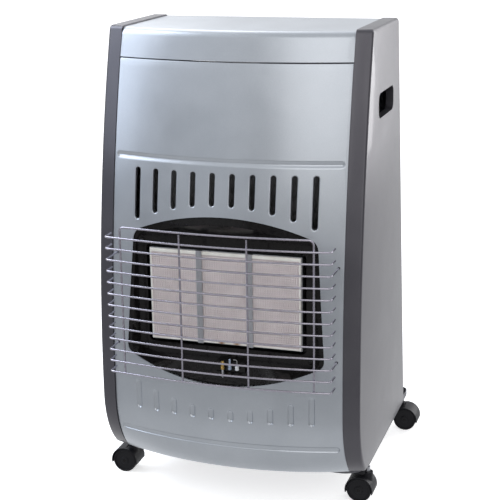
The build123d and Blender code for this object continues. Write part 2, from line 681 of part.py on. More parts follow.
def plenum(x):
    """One gas and air chamber: a pan open to its plaque, with a mixing tube and flared mouth below."""
    front = PLAQUE_FACE_Y + PLAQUE_T + 2 * GAP + HOLDER_WALL
    box = plenum_block(x, front, 0)
    tube_y = front + PLENUM_T / 2
    low = PLAQUE_Z - PLENUM_H / 2
    tube = cylinder_z(x, tube_y, low - MIXER_LEN, low + MIXER_WALL, MIXER_R)
    mouth_z = low - MIXER_LEN
    mouth = Pos(x, tube_y, mouth_z - MIXER_MOUTH_H / 2) * Cone(MIXER_MOUTH_R, MIXER_R, MIXER_MOUTH_H)
    inner_mouth = Pos(x, tube_y, mouth_z - MIXER_MOUTH_H / 2) * Cone(
        MIXER_MOUTH_R - MIXER_WALL, MIXER_R - MIXER_WALL, MIXER_MOUTH_H
    )
    bore = cylinder_z(x, tube_y, mouth_z - MIXER_MOUTH_H, low + PLENUM_H / 4, MIXER_R - MIXER_WALL)
    return box + tube + mouth - inner_mouth - bore - plenum_block(x, front - PLENUM_WALL, PLENUM_WALL)


def plenum_block(x, front, inset):
    """A plenum's outer block, or the room inside it when inset."""
    block = Box(PLENUM_W - 2 * inset, PLENUM_T, PLENUM_H - 2 * inset)
    block = Pos(x, front + PLENUM_T / 2, PLAQUE_Z) * block
    return fillet(block.edges().group_by(Axis.Y)[-1], PLENUM_EDGE_R - inset)


def cylinder_z(x, y, z0, z1, radius):
    """Upright cylinder between two heights."""
    return Pos(x, y, (z0 + z1) / 2) * Cylinder(radius, z1 - z0)


def mixer_mouth_z():
    """Bottom of the mixing tubes."""
    return PLAQUE_Z - PLENUM_H / 2 - MIXER_LEN - MIXER_MOUTH_H


def burner_axis_y():
    """Depth of the mixing tubes, injectors and manifold."""
    return PLAQUE_FACE_Y + PLAQUE_T + 2 * GAP + HOLDER_WALL + PLENUM_T / 2


def manifold_z():
    """Height of the manifold's axis."""
    return mixer_mouth_z() - INJECTOR_GAP - INJECTOR_H - MANIFOLD_R


def gas_manifold():
    """Tube that feeds the three injectors, closed at both ends."""
    half = PLAQUE_PITCH * (PLAQUE_COUNT - 1) / 2 + MANIFOLD_OVER
    tube = Pos(0, burner_axis_y(), manifold_z()) * Rot(0, 90, 0) * Cylinder(MANIFOLD_R, 2 * half)
    return chamfer(tube.edges(), MANIFOLD_EDGE)


def injector(x):
    """Brass injector standing on the manifold."""
    foot = manifold_z() + MANIFOLD_R
    nose_h = INJECTOR_H * INJECTOR_NOSE
    body = cylinder_z(x, burner_axis_y(), foot - MANIFOLD_EDGE, foot + INJECTOR_H - nose_h, INJECTOR_R)
    nose = Pos(x, burner_axis_y(), foot + INJECTOR_H - nose_h / 2) * Cone(INJECTOR_R, INJECTOR_R / 2, nose_h)
    saddle = Pos(0, burner_axis_y(), manifold_z()) * Rot(0, 90, 0) * Cylinder(MANIFOLD_R, CABINET_W)
    return body + nose - saddle


def burner_bracket(side):
    """Sheet channel that carries the burner on the heat shield."""
    y0 = burner_axis_y() + PLENUM_T / 2 + GAP
    length = SHIELD_Y - y0 - GAP
    block = Pos(side * BRACKET_X, y0 + length / 2, PLAQUE_Z) * Box(BRACKET_W, length, BRACKET_H)
    room = Pos(0, 0, SHEET) * Box(FAR, length - 2 * SHEET, BRACKET_H)
    return block - Pos(0, y0 + length / 2, PLAQUE_Z) * room


def manifold_bracket(side):
    """Strap from the manifold back to the heat shield."""
    y0 = burner_axis_y() + MANIFOLD_R + GAP
    length = SHIELD_Y - y0 - GAP
    x = side * PLAQUE_PITCH / 2
    strap = Pos(x, y0 + length / 2, manifold_z()) * Box(BRACKET_W, length, BRACKET_H)
    room = Pos(x, y0 + length / 2, manifold_z() + SHEET) * Box(FAR / 4, length - 2 * SHEET, BRACKET_H)
    return strap - room


# ------------------------------------------------------------------ pilot group
def pilot_bracket():
    """Small angle that stands on the bezel's lower lip."""
    low = PILOT_Z - PILOT_PLATE_H / 2
    plate = Pos(PILOT_X, PILOT_Y, PILOT_Z) * Box(PILOT_PLATE_W, PILOT_PLATE_T, PILOT_PLATE_H)
    reach = BAND_Y - PILOT_Y
    foot = Pos(PILOT_X, PILOT_Y + reach / 2, low + PILOT_PLATE_H) * Box(PILOT_PLATE_W, reach, PILOT_PLATE_T)
    bracket = plate + foot
    return bracket - Pos(0, 0, GAP) * bezel_solid_below()


def bezel_solid_below():
    """The room that the bezel's lower lip and its backing take up near the middle."""
    slope = math.degrees(math.atan2(BAND_LOW_Z - EYE_BOTTOM_Z, BAND_Y - FUNNEL_Y))
    block = Pos(0, 0, -FAR / 4) * Box(PLAQUE_PITCH, FAR, FAR / 2)
    return Pos(PILOT_X, BAND_Y, BAND_LOW_Z) * Rot(slope, 0, 0) * block


def pilot_piece_y():
    """Depth of the pilot pieces, just in front of their plate."""
    return PILOT_Y - PILOT_PLATE_T / 2 - PILOT_HEAD_R - GAP


def pilot_burner():
    """Brass pilot head with a narrower cap."""
    x, y = PILOT_X - PILOT_SPACING, pilot_piece_y()
    shoulder = PILOT_Z + PILOT_BODY_RISE
    body = cylinder_z(x, y, PILOT_Z - PILOT_HEAD_R, shoulder, PILOT_HEAD_R)
    cap = cylinder_z(x, y, shoulder, PILOT_Z + PILOT_CAP_RISE, PILOT_HEAD_R - PILOT_CAP_STEP)
    return body + cap


def thermocouple():
    """Sensor: a collar and a slim tip that reaches into the flame."""
    x, y = PILOT_X, pilot_piece_y()
    shoulder = PILOT_Z + SENSOR_COLLAR_RISE
    collar = cylinder_z(x, y, PILOT_Z - CERAMIC_DROP, shoulder, CERAMIC_R)
    tip = cylinder_z(x, y, shoulder, PILOT_Z + SENSOR_TIP_RISE, SENSOR_R)
    return collar + tip


def ignition_electrode():
    """White ceramic sleeve with a bent spark wire that points at the pilot."""
    x, y = PILOT_X + PILOT_SPACING, pilot_piece_y()
    shoulder = PILOT_Z + CERAMIC_RISE
    sleeve = cylinder_z(x, y, PILOT_Z - CERAMIC_DROP, shoulder, CERAMIC_R)
    top = PILOT_Z + SPARK_RISE
    reach = PILOT_SPACING / 2
    wire = cylinder_z(x, y, shoulder, top, SPARK_WIRE_R)
    hook = Pos(x - reach / 2, y, top - SPARK_WIRE_R) * Rot(0, 90, 0) * Cylinder(SPARK_WIRE_R, reach)
    return sleeve + wire + hook


# ------------------------------------------------------------------ guard
def guard_y(x, back=0.0):
    """Depth of the bowed guard, or of a layer behind it, at a distance from the middle."""
    return GUARD_END_Y - GUARD_BOW + GUARD_R - math.sqrt((GUARD_R - back) ** 2 - x ** 2)


def guard_leg_x():
    """Distance of the wires' legs from the middle, once they are bent straight back."""
    return GUARD_SPAN + GUARD_BEND_R * (1 - GUARD_SPAN / GUARD_R)


def wire_along(path):
    """Round wire swept along a path."""
    return sweep(Plane(path @ 0, z_dir=path % 0) * Circle(WIRE_R), path=path)


def guard_wire(z, leg):
    """One horizontal wire: bowed across the front, its ends bent back."""
    right = (GUARD_SPAN, guard_y(GUARD_SPAN))
    front = ThreePointArc((0, guard_y(0)), (GUARD_SPAN / 2, guard_y(GUARD_SPAN / 2)), right)
    heading = front % 1
    turn = 90 - math.degrees(math.atan2(heading.Y, heading.X))
    bend = JernArc(start=right, tangent=heading, radius=GUARD_BEND_R, arc_size=turn)
    end = bend @ 1
    half = Curve() + [front, bend, Line(end, end + Vector(0, leg, 0))]
    whole = Wire((half + mirror(half, about=Plane.YZ)).edges())
    return Pos(0, 0, z) * wire_along(whole)


def hooked_leg():
    """Length of the legs that reach into the front panel."""
    x, z = hook_holes()[-1]
    panel_y = bow_y(x) + front_y(z) - NOSE_Y
    return panel_y + 2 * SHEET - GUARD_END_Y - GUARD_BEND_R


def guard_wires():
    """All the horizontal wires."""
    wires = []
    for i in range(GUARD_WIRES):
        leg = hooked_leg() if i in GUARD_HOOKED else GUARD_LEG
        wires.append(guard_wire(GUARD_LOW_Z + i * GUARD_PITCH, leg))
    return wires


def guard_frame_wire():
    """The bent wire behind the horizontals: two legs and a bowed top."""
    back = 2 * WIRE_R
    x, top = FRAME_WIRE_HALF_W - FRAME_WIRE_BEND_R, FRAME_WIRE_TOP_Z
    bow = ThreePointArc((-x, guard_y(x, back), top), (0, guard_y(0, back), top), (x, guard_y(x, back), top))
    heading = bow % 1
    turning = Plane(bow @ 1, x_dir=heading, z_dir=Vector(0, 0, 1).cross(heading))
    corner = turning * CenterArc((0, FRAME_WIRE_BEND_R), FRAME_WIRE_BEND_R, -90, 90)
    foot = corner @ 1
    leg = Line(foot, (foot.X, foot.Y, GUARD_LOW_Z - WIRE_R))
    half = Curve() + [corner, leg]
    return wire_along(Wire((Curve() + [bow] + half + mirror(half, about=Plane.YZ)).edges()))


def guard_upright(x):
    """A straight upright wire behind the horizontals."""
    low = GUARD_LOW_Z - WIRE_R
    high = FRAME_WIRE_TOP_Z - 2 * WIRE_R
    return cylinder_z(x, guard_y(x, 2 * WIRE_R), low, high, WIRE_R)


# ------------------------------------------------------------------ tray, shield, rear
def tray_plan(inset):
    """Plan outline of the base tray."""
    w, y0, y1 = TRAY_HALF_W - inset, TRAY_FRONT_Y + inset, TRAY_REAR_Y - inset
    plan = Pos(0, (y0 + y1) / 2) * Rectangle(2 * w, y1 - y0)
    plan = fillet(plan.vertices().group_by(Axis.Y)[0], TRAY_FRONT_R - inset)
    return fillet(plan.vertices().group_by(Axis.Y)[-1], TRAY_REAR_R - inset)


def base_tray():
    """Pressed tray with a rim all round and a raised platform for the bottle."""
    rim_top = PANEL_BOTTOM_Z - GAP
    tray = extrude(Pos(0, 0, TRAY_BOTTOM_Z) * tray_plan(0), amount=rim_top - TRAY_BOTTOM_Z)
    tray = fillet(tray.faces().sort_by(Axis.Z)[0].edges(), 3 * SHEET)
    room = extrude(Pos(0, 0, TRAY_BOTTOM_Z + SHEET) * tray_plan(SHEET), amount=rim_top)
    tray -= fillet(room.faces().sort_by(Axis.Z)[0].edges(), 2 * SHEET)
    y0, y1 = SHIELD_Y + SHEET + PLATFORM_MARGIN, REAR_BOTTOM_Y - PLATFORM_MARGIN
    pad = Pos(0, (y0 + y1) / 2) * RectangleRounded(2 * PLATFORM_HALF_W, y1 - y0, TRAY_REAR_R)
    tray += extrude(Pos(0, 0, TRAY_BOTTOM_Z + SHEET) * pad, amount=PLATFORM_H)
    hollow = RectangleRounded(2 * (PLATFORM_HALF_W - SHEET), y1 - y0 - 2 * SHEET, TRAY_REAR_R - SHEET)
    below = Pos(0, (y0 + y1) / 2, TRAY_BOTTOM_Z - SHEET) * hollow
    return tray - extrude(below, amount=PLATFORM_H + SHEET)


def heat_shield():
    """Upright sheet between burner and bottle, stiffened by pressed ribs."""
    low = TRAY_BOTTOM_Z + SHEET + GAP
    high = SHIELD_TOP_Z
    sheet = Pos(0, SHIELD_Y + SHEET / 2, (low + high) / 2) * Box(CABINET_W, SHEET, high - low)
    length = (high - low) * SHIELD_RIB_SHARE
    for x in SHIELD_RIBS_X:
        for middle in (Pos(-x, SHIELD_Y, (low + high) / 2), Pos(x, SHIELD_Y, (low + high) / 2)):
            rib = Box(SHIELD_RIB_W, 2 * SHIELD_RIB_DEPTH, length)
            groove = Box(SHIELD_RIB_W - 2 * SHEET, 2 * SHIELD_RIB_DEPTH, length - 2 * SHEET)
            sheet = sheet + (middle * rib & front_of_shield()) - middle * Pos(0, SHEET, 0) * groove
    return sheet - beyond(HALF_W - SIDE_WALL - GAP) - tray_rim_room()


def front_of_shield():
    """Everything in front of the shield's rear face."""
    return Pos(0, SHIELD_Y + SHEET - FAR / 2, CABINET_TOP_Z / 2) * Box(2 * FAR, FAR, 3 * FAR)


def tray_rim_room():
    """Room that the tray's rim takes at both ends of the shield."""
    height = PANEL_BOTTOM_Z + SIDE_WALL + GAP + LIP_DEPTH
    end = Pos(TRAY_HALF_W - 4 * SHEET + FAR / 2, SHIELD_Y, height / 2) * Box(FAR, FAR / 4, height)
    lip = Pos(EDGE_X - GAP + FAR / 2, SHIELD_Y, height / 2) * Box(FAR, FAR / 4, height)
    return end + lip + mirrored(end) + mirrored(lip)


def rear_plane(z):
    """Plane that lies on the side panels' rear edges at a height, its normal pointing back."""
    tilt = math.radians(REAR_TILT)
    return Plane((0, rear_y(z), z), x_dir=(-1, 0, 0), z_dir=(0, math.cos(tilt), math.sin(tilt)))


def leaning_sheet(z0, z1):
    """Rounded sheet lying behind the side panels' rear edges between two heights."""
    mid = (z0 + z1) / 2
    length = (z1 - z0) / math.cos(math.radians(REAR_TILT))
    plan = RectangleRounded(2 * REAR_SHEET_HALF_W, length, REAR_SHEET_R)
    return extrude(rear_plane(mid).offset(GAP) * plan, amount=SHEET)


def bulge(radius, z0, z1, edge):
    """Upright drum round the bottle's axis with a rounded upper edge."""
    drum = cylinder_z(0, BOTTLE_Y, z0, z1, radius)
    return fillet(drum.faces().sort_by(Axis.Z)[-1].edges(), edge)


def rear_cover():
    """Lift-off rear cover: a leaning sheet with a drum-shaped bulge that clears the bottle, and vents."""
    z0 = PANEL_BOTTOM_Z
    cover = leaning_sheet(z0, COVER_HEAD_Z)
    outer = bulge(BULGE_R + SHEET, z0, BULGE_TOP_Z + SHEET, BULGE_EDGE_R + SHEET)
    cover += outer & behind_rear(GAP)
    cover -= bulge(BULGE_R, 0, BULGE_TOP_Z, BULGE_EDGE_R)
    for row in range(VENT_ROWS):
        slot = Pos(0, COVER_VENT_Z + row * VENT_PITCH) * SlotOverall(VENT_W, VENT_H)
        cover -= prism(slot, BOTTLE_Y, TRAY_REAR_Y + FAR / 4)
    return cover


def upper_rear_panel():
    """Fixed sheet above the rear cover, with the stem's hole and vent slots."""
    panel = leaning_sheet(COVER_HEAD_Z + 2 * GAP, COVER_TOP_Z - GAP)
    panel -= knob_plane() * Cylinder(STEM_HOLE_R, 4 * VALVE_BACK)
    for row in range(UPPER_VENT_ROWS):
        z = UPPER_VENT_Z + (row - (UPPER_VENT_ROWS - 1) / 2) * VENT_PITCH
        panel -= prism(Pos(UPPER_VENT_X, z) * SlotOverall(UPPER_VENT_W, VENT_H), 0, 2 * FAR)
    return panel


def rear_screws():
    """Four screws at the corners of the upper rear panel."""
    heads = []
    for side in (-1, 1):
        for z in (COVER_HEAD_Z + REAR_SCREW_END, COVER_TOP_Z - REAR_SCREW_END):
            seat = rear_plane(z).offset(GAP + SHEET) * Pos(side * (REAR_SHEET_HALF_W - REAR_SCREW_SIDE), 0)
            heads.append(seat * screw_head(SCREW_HEAD_R, SCREW_HEAD_H))
    return heads


# ------------------------------------------------------------------ valve and knob
def knob_plane():
    """Plane on the rear panel's outer face at the knob, its normal pointing back along the stem."""
    base = rear_plane(KNOB_Z).offset(GAP + SHEET)
    return base * Pos(-KNOB_X, 0, 0)


def at_knob(shape):
    """Place a shape that was drawn about the stem's axis, the panel's face at zero."""
    return knob_plane() * shape


def rod(radius, z0, z1):
    """Cylinder about Z between two heights."""
    return Pos(0, 0, (z0 + z1) / 2) * Cylinder(radius, z1 - z0)


def control_knob():
    """Round knob with a skirt and a raised grip bar with a pointer groove."""
    z0 = KNOB_PUSH + GAP
    knob = rod(KNOB_SKIRT_R, z0, z0 + KNOB_SKIRT_H)
    knob = fillet(knob.edges().sort_by(Axis.Z)[-1], KNOB_SKIRT_EDGE_R)
    cup = rod(KNOB_R, z0, z0 + KNOB_CUP_H)
    bar = Pos(0, 0, z0 + KNOB_H / 2) * Box(KNOB_GRIP_W, 2 * (KNOB_R - KNOB_GRIP_SHORT), KNOB_H)
    bar = fillet(bar.edges().group_by(Axis.Z)[-1], KNOB_GRIP_EDGE_R)
    mark = Pos(0, KNOB_R - MARK_INSET, z0 + KNOB_H) * Box(MARK_W, MARK_L, 2 * MARK_DEPTH)
    knob = knob + cup + bar - mark
    return at_knob(knob - rod(STEM_R, z0 - GAP, z0 + STEM_IN_KNOB))


def valve_stem():
    """Steel stem from the plunger to the knob."""
    high = KNOB_PUSH + GAP + STEM_IN_KNOB
    return at_knob(rod(STEM_R, high - STEM_L, high))


def plunger_place():
    """Low and high ends of the plunger along the stem's axis."""
    high = -(SHEET + GAP + VALVE_BACK) + PLUNGER_L / 2
    return high - PLUNGER_L, high


def valve_plunger():
    """Sleeve round the stem that the valve's spring pushes out."""
    z0, z1 = plunger_place()
    sleeve = rod(PLUNGER_R, z0, z1)
    return at_knob(sleeve - rod(STEM_R + STEM_FIT, z0 - GAP, z1 + GAP))


def valve_origin():
    """Front face of the valve body along the stem's axis."""
    return -(SHEET + GAP + VALVE_BACK)


def gas_valve():
    """Cast valve body with its bore and an igniter housing at its side."""
    top = valve_origin()
    body = Pos(0, 0, top - VALVE_T / 2) * Box(VALVE_W, VALVE_H, VALVE_T)
    body = fillet(body.edges().filter_by(Axis.Z), VALVE_EDGE_R)
    collar = rod(VALVE_COLLAR_R, top, top + VALVE_BACK / 3)
    side = Pos(-VALVE_W / 2 - IGNITER_OUT, 0, top - VALVE_T / 2)
    igniter = side * Cylinder(IGNITER_R, IGNITER_L)
    link = side * Pos(IGNITER_LINK / 2, 0, 0) * Box(IGNITER_LINK, IGNITER_LINK, IGNITER_LINK_L)
    body = body + collar + igniter + link
    room = rod(VALVE_BORE_R, plunger_place()[0] - KNOB_PUSH - SPRING_ROOM, top + VALVE_BACK)
    return at_knob(body - room)


def valve_bracket():
    """Bent bracket that hangs the valve from the upper rear panel."""
    top = valve_origin()
    half = VALVE_W / 2 + BRACKET_SHEET + VALVE_BRACKET_ROOM
    wall = -(SHEET + GAP)
    depth = wall - top - 2 * GAP
    outer = Box(2 * half, VALVE_H, depth)
    hollow = Box(2 * (half - BRACKET_SHEET), 2 * VALVE_H, depth - 2 * BRACKET_SHEET)
    frame = Pos(0, 0, (wall + top) / 2) * (outer - hollow)
    return at_knob(frame - rod(VALVE_COLLAR_R + GAP, top, wall))


def hose_nozzle():
    """Brass hose nozzle that points down from the valve."""
    top = -VALVE_H / 2 - GAP / 2
    place = knob_plane() * Pos(0, 0, valve_origin() - VALVE_T / 2)
    length = NOZZLE_COLLAR_L + NOZZLE_L
    collar = Pos(0, top - NOZZLE_COLLAR_L / 2, 0) * rod_y(NOZZLE_COLLAR_R, NOZZLE_COLLAR_L)
    barb = Pos(0, top - length + NOZZLE_L / 2, 0) * rod_y(NOZZLE_R, NOZZLE_L)
    bore = Pos(0, top - length / 2, 0) * rod_y(NOZZLE_BORE_R, 2 * length)
    return place * (collar + barb - bore)


def tube_along(points, radius, bend):
    """Solid tube of straight runs joined by round bends."""
    path = FilletPolyline(*points, radius=bend)
    return sweep(Plane(path @ 0, z_dir=path % 0) * Circle(radius), path=path)


def valve_outlet(dx):
    """Point on the valve's front face where a pipe leaves, seen from the middle of the face."""
    place = knob_plane() * Pos(dx, 0, valve_origin() - VALVE_T - GAP / 2)
    return place.position


def supply_pipe():
    """Main gas pipe: forward from the valve, down in front of the shield and into the manifold."""
    start = valve_outlet(VALVE_OUTLET_X)
    tilt = math.radians(REAR_TILT)
    out = start + Vector(0, -math.cos(tilt), -math.sin(tilt)) * (2 * SUPPLY_BEND_R)
    x = PLAQUE_PITCH * (PLAQUE_COUNT - 1) / 2 + MANIFOLD_OVER + 2 * SUPPLY_BEND_R
    end_x = PLAQUE_PITCH * (PLAQUE_COUNT - 1) / 2 + MANIFOLD_OVER + GAP / 2
    points = [
        start,
        out,
        Vector(x, PIPE_DROP_Y, PIPE_OVER_Z),
        Vector(x, PIPE_DROP_Y, manifold_z() + 2.5 * SUPPLY_BEND_R),
        Vector(x, burner_axis_y(), manifold_z()),
        Vector(end_x, burner_axis_y(), manifold_z()),
    ]
    return tube_along(points, SUPPLY_PIPE_R, SUPPLY_BEND_R)


def pilot_pipe():
    """Thin pipe from the valve down to the pilot burner."""
    start = valve_outlet(-VALVE_OUTLET_X)
    tilt = math.radians(REAR_TILT)
    out = start + Vector(0, -math.cos(tilt), -math.sin(tilt)) * (2 * SUPPLY_BEND_R)
    x = PLAQUE_PITCH * (PLAQUE_COUNT - 1) / 2 + MANIFOLD_OVER + 4 * SUPPLY_BEND_R
    low = EYE_BOTTOM_Z - 2 * SUPPLY_BEND_R
    pilot_x = PILOT_X - PILOT_SPACING
    pilot_y = pilot_piece_y()
    points = [
        start,
        out,
        Vector(x, PIPE_DROP_Y, PIPE_OVER_Z + SUPPLY_BEND_R),
        Vector(x, PIPE_DROP_Y, low),
        Vector(x, 0, low),
        Vector(pilot_x, 0, low),
        Vector(pilot_x, pilot_y, low),
        Vector(pilot_x, pilot_y, PILOT_Z - PILOT_HEAD_R - GAP),
    ]
    return tube_along(points, PILOT_PIPE_R, SUPPLY_BEND_R)


# ------------------------------------------------------------------ casters
def caster_housing(x, y, trail):
    """Hood over both wheels, middle web and the boss that swivels round the stem."""
    lips_z = -HOOD_R * math.sin(math.radians(HOOD_LOW_ANGLE))
    lips = Pos(0, 0, lips_z - HOOD_R) * Box(4 * HOOD_R, 2 * HOOD_W, 2 * HOOD_R)
    hood = rod_y(HOOD_R, HOOD_W) - rod_y(HOOD_R - HOOD_WALL, 2 * HOOD_W)
    web = rod_y(HOOD_R - HOOD_WALL / 2, WEB_T)
    at_axle = Pos(x + trail, y, AXLE_Z)
    boss = cylinder_z(x, y, AXLE_Z, SOCKET_Z - SOCKET_GAP, BOSS_R)
    boss -= at_axle * rod_y(HOOD_R - HOOD_WALL / 2, 2 * HOOD_W)
    body = at_axle * ((hood + web) - lips) + boss
    body -= at_axle * rod_y(AXLE_R, 2 * HOOD_W)
    return body - cylinder_z(x, y, stem_low_z(), SOCKET_Z + SOCKET_H, CASTER_STEM_R)


def stem_low_z():
    """Lower end of the caster's stem, in the boss just above the wheels."""
    return AXLE_Z + math.sqrt((HOOD_R - HOOD_WALL) ** 2 - (TRAIL - CASTER_STEM_R) ** 2) + SOCKET_GAP


def rod_y(radius, length):
    """Cylinder about Y."""
    return Rot(90, 0, 0) * Cylinder(radius, length)


def caster_wheel(side):
    """Dished plastic wheel with a hub, on the axle's middle point."""
    wheel = rod_y(WHEEL_R, WHEEL_W)
    wheel = fillet(wheel.edges().filter_by(GeomType.CIRCLE), WHEEL_EDGE_R)
    ring = rod_y(WHEEL_R - WHEEL_RIM, WHEEL_DISH) - rod_y(WHEEL_HUB_R, WHEEL_DISH)
    wheel -= Pos(0, side * (WHEEL_W - WHEEL_DISH) / 2, 0) * ring
    wheel -= rod_y(AXLE_R + RUN_FIT, 2 * WHEEL_W)
    return Pos(0, side * WHEEL_Y, 0) * wheel


def caster_socket(x, y):
    """Mounting block under the tray with the stem's bore."""
    reach = TRAY_HALF_W - SOCKET_OUTSET - SOCKET_W / 2
    middle = math.copysign(reach, x)
    block = Pos(middle, y, SOCKET_Z + SOCKET_H / 2) * Box(SOCKET_W, SOCKET_L, SOCKET_H)
    block = fillet(block.edges().filter_by(Axis.Z), SOCKET_R)
    return block - cylinder_z(x, y, SOCKET_Z - SHEET, SOCKET_Z + SOCKET_H - SHEET, CASTER_STEM_R + RUN_FIT)


def caster(name, x, y, trail):
    """One twin-wheel caster with its kingpin at x, y and its axle to one side of it."""
    at_axle = Pos(x + trail, y, AXLE_Z)
    keep(name + "_housing", caster_housing(x, y, trail))
    keep(name + "_stem", cylinder_z(x, y, stem_low_z(), SOCKET_Z + SOCKET_H - SHEET - GAP, CASTER_STEM_R))
    keep(name + "_axle", at_axle * rod_y(AXLE_R, 2 * (WHEEL_Y - AXLE_INSET) + WHEEL_W))
    keep(name + "_front_wheel", at_axle * caster_wheel(-1))
    keep(name + "_rear_wheel", at_axle * caster_wheel(1))


# ------------------------------------------------------------------ the whole heater
def build():
    """Make every piece."""
    right = side_panel()
    keep("right_side_panel", right)
    keep("left_side_panel", mirrored(right))
    keep("front_panel", front_panel())
    keep("top_cover", top_cover())
    keep("burner_bezel", burner_bezel())
    keep("bezel_screws", *bezel_screws())
    for name, x in zip(("left", "middle", "right"), plaque_places()):
        keep(name + "_ceramic_plaque", plaque(x))
        keep(name + "_plenum", plenum(x))
    keep("plaque_holder", plaque_holder())
    keep("gas_manifold", gas_manifold())
    keep("injectors", *[injector(x) for x in plaque_places()])
    keep("burner_brackets", *[make(side) for make in (burner_bracket, manifold_bracket) for side in (-1, 1)])
    keep("pilot_bracket", pilot_bracket())
    keep("pilot_burner", pilot_burner())
    keep("thermocouple", thermocouple())
    keep("ignition_electrode", ignition_electrode())
    keep("guard_wires", *guard_wires())
    keep("guard_frame_wire", guard_frame_wire())
    keep("guard_uprights", *[guard_upright(x) for x in (-UPRIGHT_X, UPRIGHT_X)])
    keep("base_tray", base_tray())
    keep("heat_shield", heat_shield())
    keep("rear_cover", rear_cover())
    keep("upper_rear_panel", upper_rear_panel())
    keep("rear_screws", *rear_screws())
    keep("control_knob", control_knob())
    keep("valve_stem", valve_stem())
    keep("valve_plunger", valve_plunger())
    keep("gas_valve", gas_valve())
    keep("valve_bracket", valve_bracket())
    keep("hose_nozzle", hose_nozzle())
    keep("supply_pipe", supply_pipe())
    keep("pilot_pipe", pilot_pipe())
    keep("caster_sockets", *[caster_socket(x, y) for x, y, trail in casters.values()])
    for name, (x, y, trail) in casters.items():
        caster(name + "_caster", x, y, trail)


def main():
    """Build the heater and write one file for each piece."""
    os.makedirs("parts", exist_ok=True)
    build()
    for name, shape in pieces.items():
        export_step(to_origin(shape), os.path.join("parts", name + ".step"))


main()
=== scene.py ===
"""Looks of a portable gas cabinet heater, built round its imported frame.

Lengths are metres, +Z is up and the burner faces -Y. The frame carries and moves everything here.
"""

import json
import logging
import math
from dataclasses import dataclass, field
from enum import Enum
from typing import Callable, Iterable, Sequence

import bmesh
import bpy
import numpy as np
from mathutils import Matrix, Vector
from mathutils.geometry import delaunay_2d_cdt


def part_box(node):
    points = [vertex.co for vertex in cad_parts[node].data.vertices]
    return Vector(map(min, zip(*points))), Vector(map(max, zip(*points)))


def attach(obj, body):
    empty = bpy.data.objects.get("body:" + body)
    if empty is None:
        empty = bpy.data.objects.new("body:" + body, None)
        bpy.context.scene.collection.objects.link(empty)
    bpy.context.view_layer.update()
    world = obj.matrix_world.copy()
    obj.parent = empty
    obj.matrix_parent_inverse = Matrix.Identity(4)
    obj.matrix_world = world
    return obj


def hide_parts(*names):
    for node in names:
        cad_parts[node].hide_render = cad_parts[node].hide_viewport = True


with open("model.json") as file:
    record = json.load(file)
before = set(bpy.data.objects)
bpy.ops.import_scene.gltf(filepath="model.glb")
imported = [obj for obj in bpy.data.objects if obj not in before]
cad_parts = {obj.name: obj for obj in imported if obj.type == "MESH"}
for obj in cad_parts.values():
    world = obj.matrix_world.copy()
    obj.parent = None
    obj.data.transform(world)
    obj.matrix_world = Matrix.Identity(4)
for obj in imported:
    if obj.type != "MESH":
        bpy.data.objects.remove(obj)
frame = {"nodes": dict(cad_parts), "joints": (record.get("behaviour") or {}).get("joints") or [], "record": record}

LOG = logging.getLogger("cabinet_heater")
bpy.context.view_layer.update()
MM = 0.001
WIRE_SIDES = 12
BEND_STEPS = 8
BODY_OF = {node: body for body, nodes in frame["record"]["behaviour"]["bodies"].items() for node in nodes}

Colour = tuple[float, float, float]
Point2 = tuple[float, float]
Point3 = tuple[float, float, float]


# ---------------------------------------------------------------- node trees
class Graph:
    """A node tree, with short calls to add and join nodes."""

    prefix: str = "ShaderNode"

    def __init__(self, tree: bpy.types.NodeTree) -> None:
        """Take the tree that the nodes go into."""
        self.tree = tree

    def add(self, kind: str, inputs: dict[str | int, object] | None = None,
            **settings: object) -> bpy.types.Node:
        """Add a node.

        Args:
            kind: the node's type; the tree's usual prefix may be left off.
            inputs: values or sockets for its inputs, by name or number.
            settings: its properties.

        Returns:
            The node.
        """
        node = self.tree.nodes.new(kind if "Node" in kind else self.prefix + kind)
        for key, value in settings.items():
            setattr(node, key, value)
        for key, value in (inputs or {}).items():
            self.feed(node.inputs[key], value)
        return node

    def feed(self, socket: bpy.types.NodeSocket, value: object) -> None:
        """Fill an input.

        Args:
            socket: the input.
            value: a socket to join to it, or a constant.
        """
        if isinstance(value, bpy.types.NodeSocket):
            self.tree.links.new(value, socket)
        else:
            socket.default_value = value

    def math(self, operation: str, *values: object) -> bpy.types.NodeSocket:
        """Work out a value from one or two sockets or numbers."""
        return self.add("Math", dict(enumerate(values)), operation=operation).outputs[0]

    def ramp(self, value: bpy.types.NodeSocket, low: float, high: float, top: float = 1.0,
             kind: str = "LINEAR") -> bpy.types.NodeSocket:
        """Stretch a value so that low becomes 0 and high becomes top, and clamp it."""
        return self.add("MapRange", {0: value, 1: low, 2: high, 4: top}, interpolation_type=kind).outputs[0]


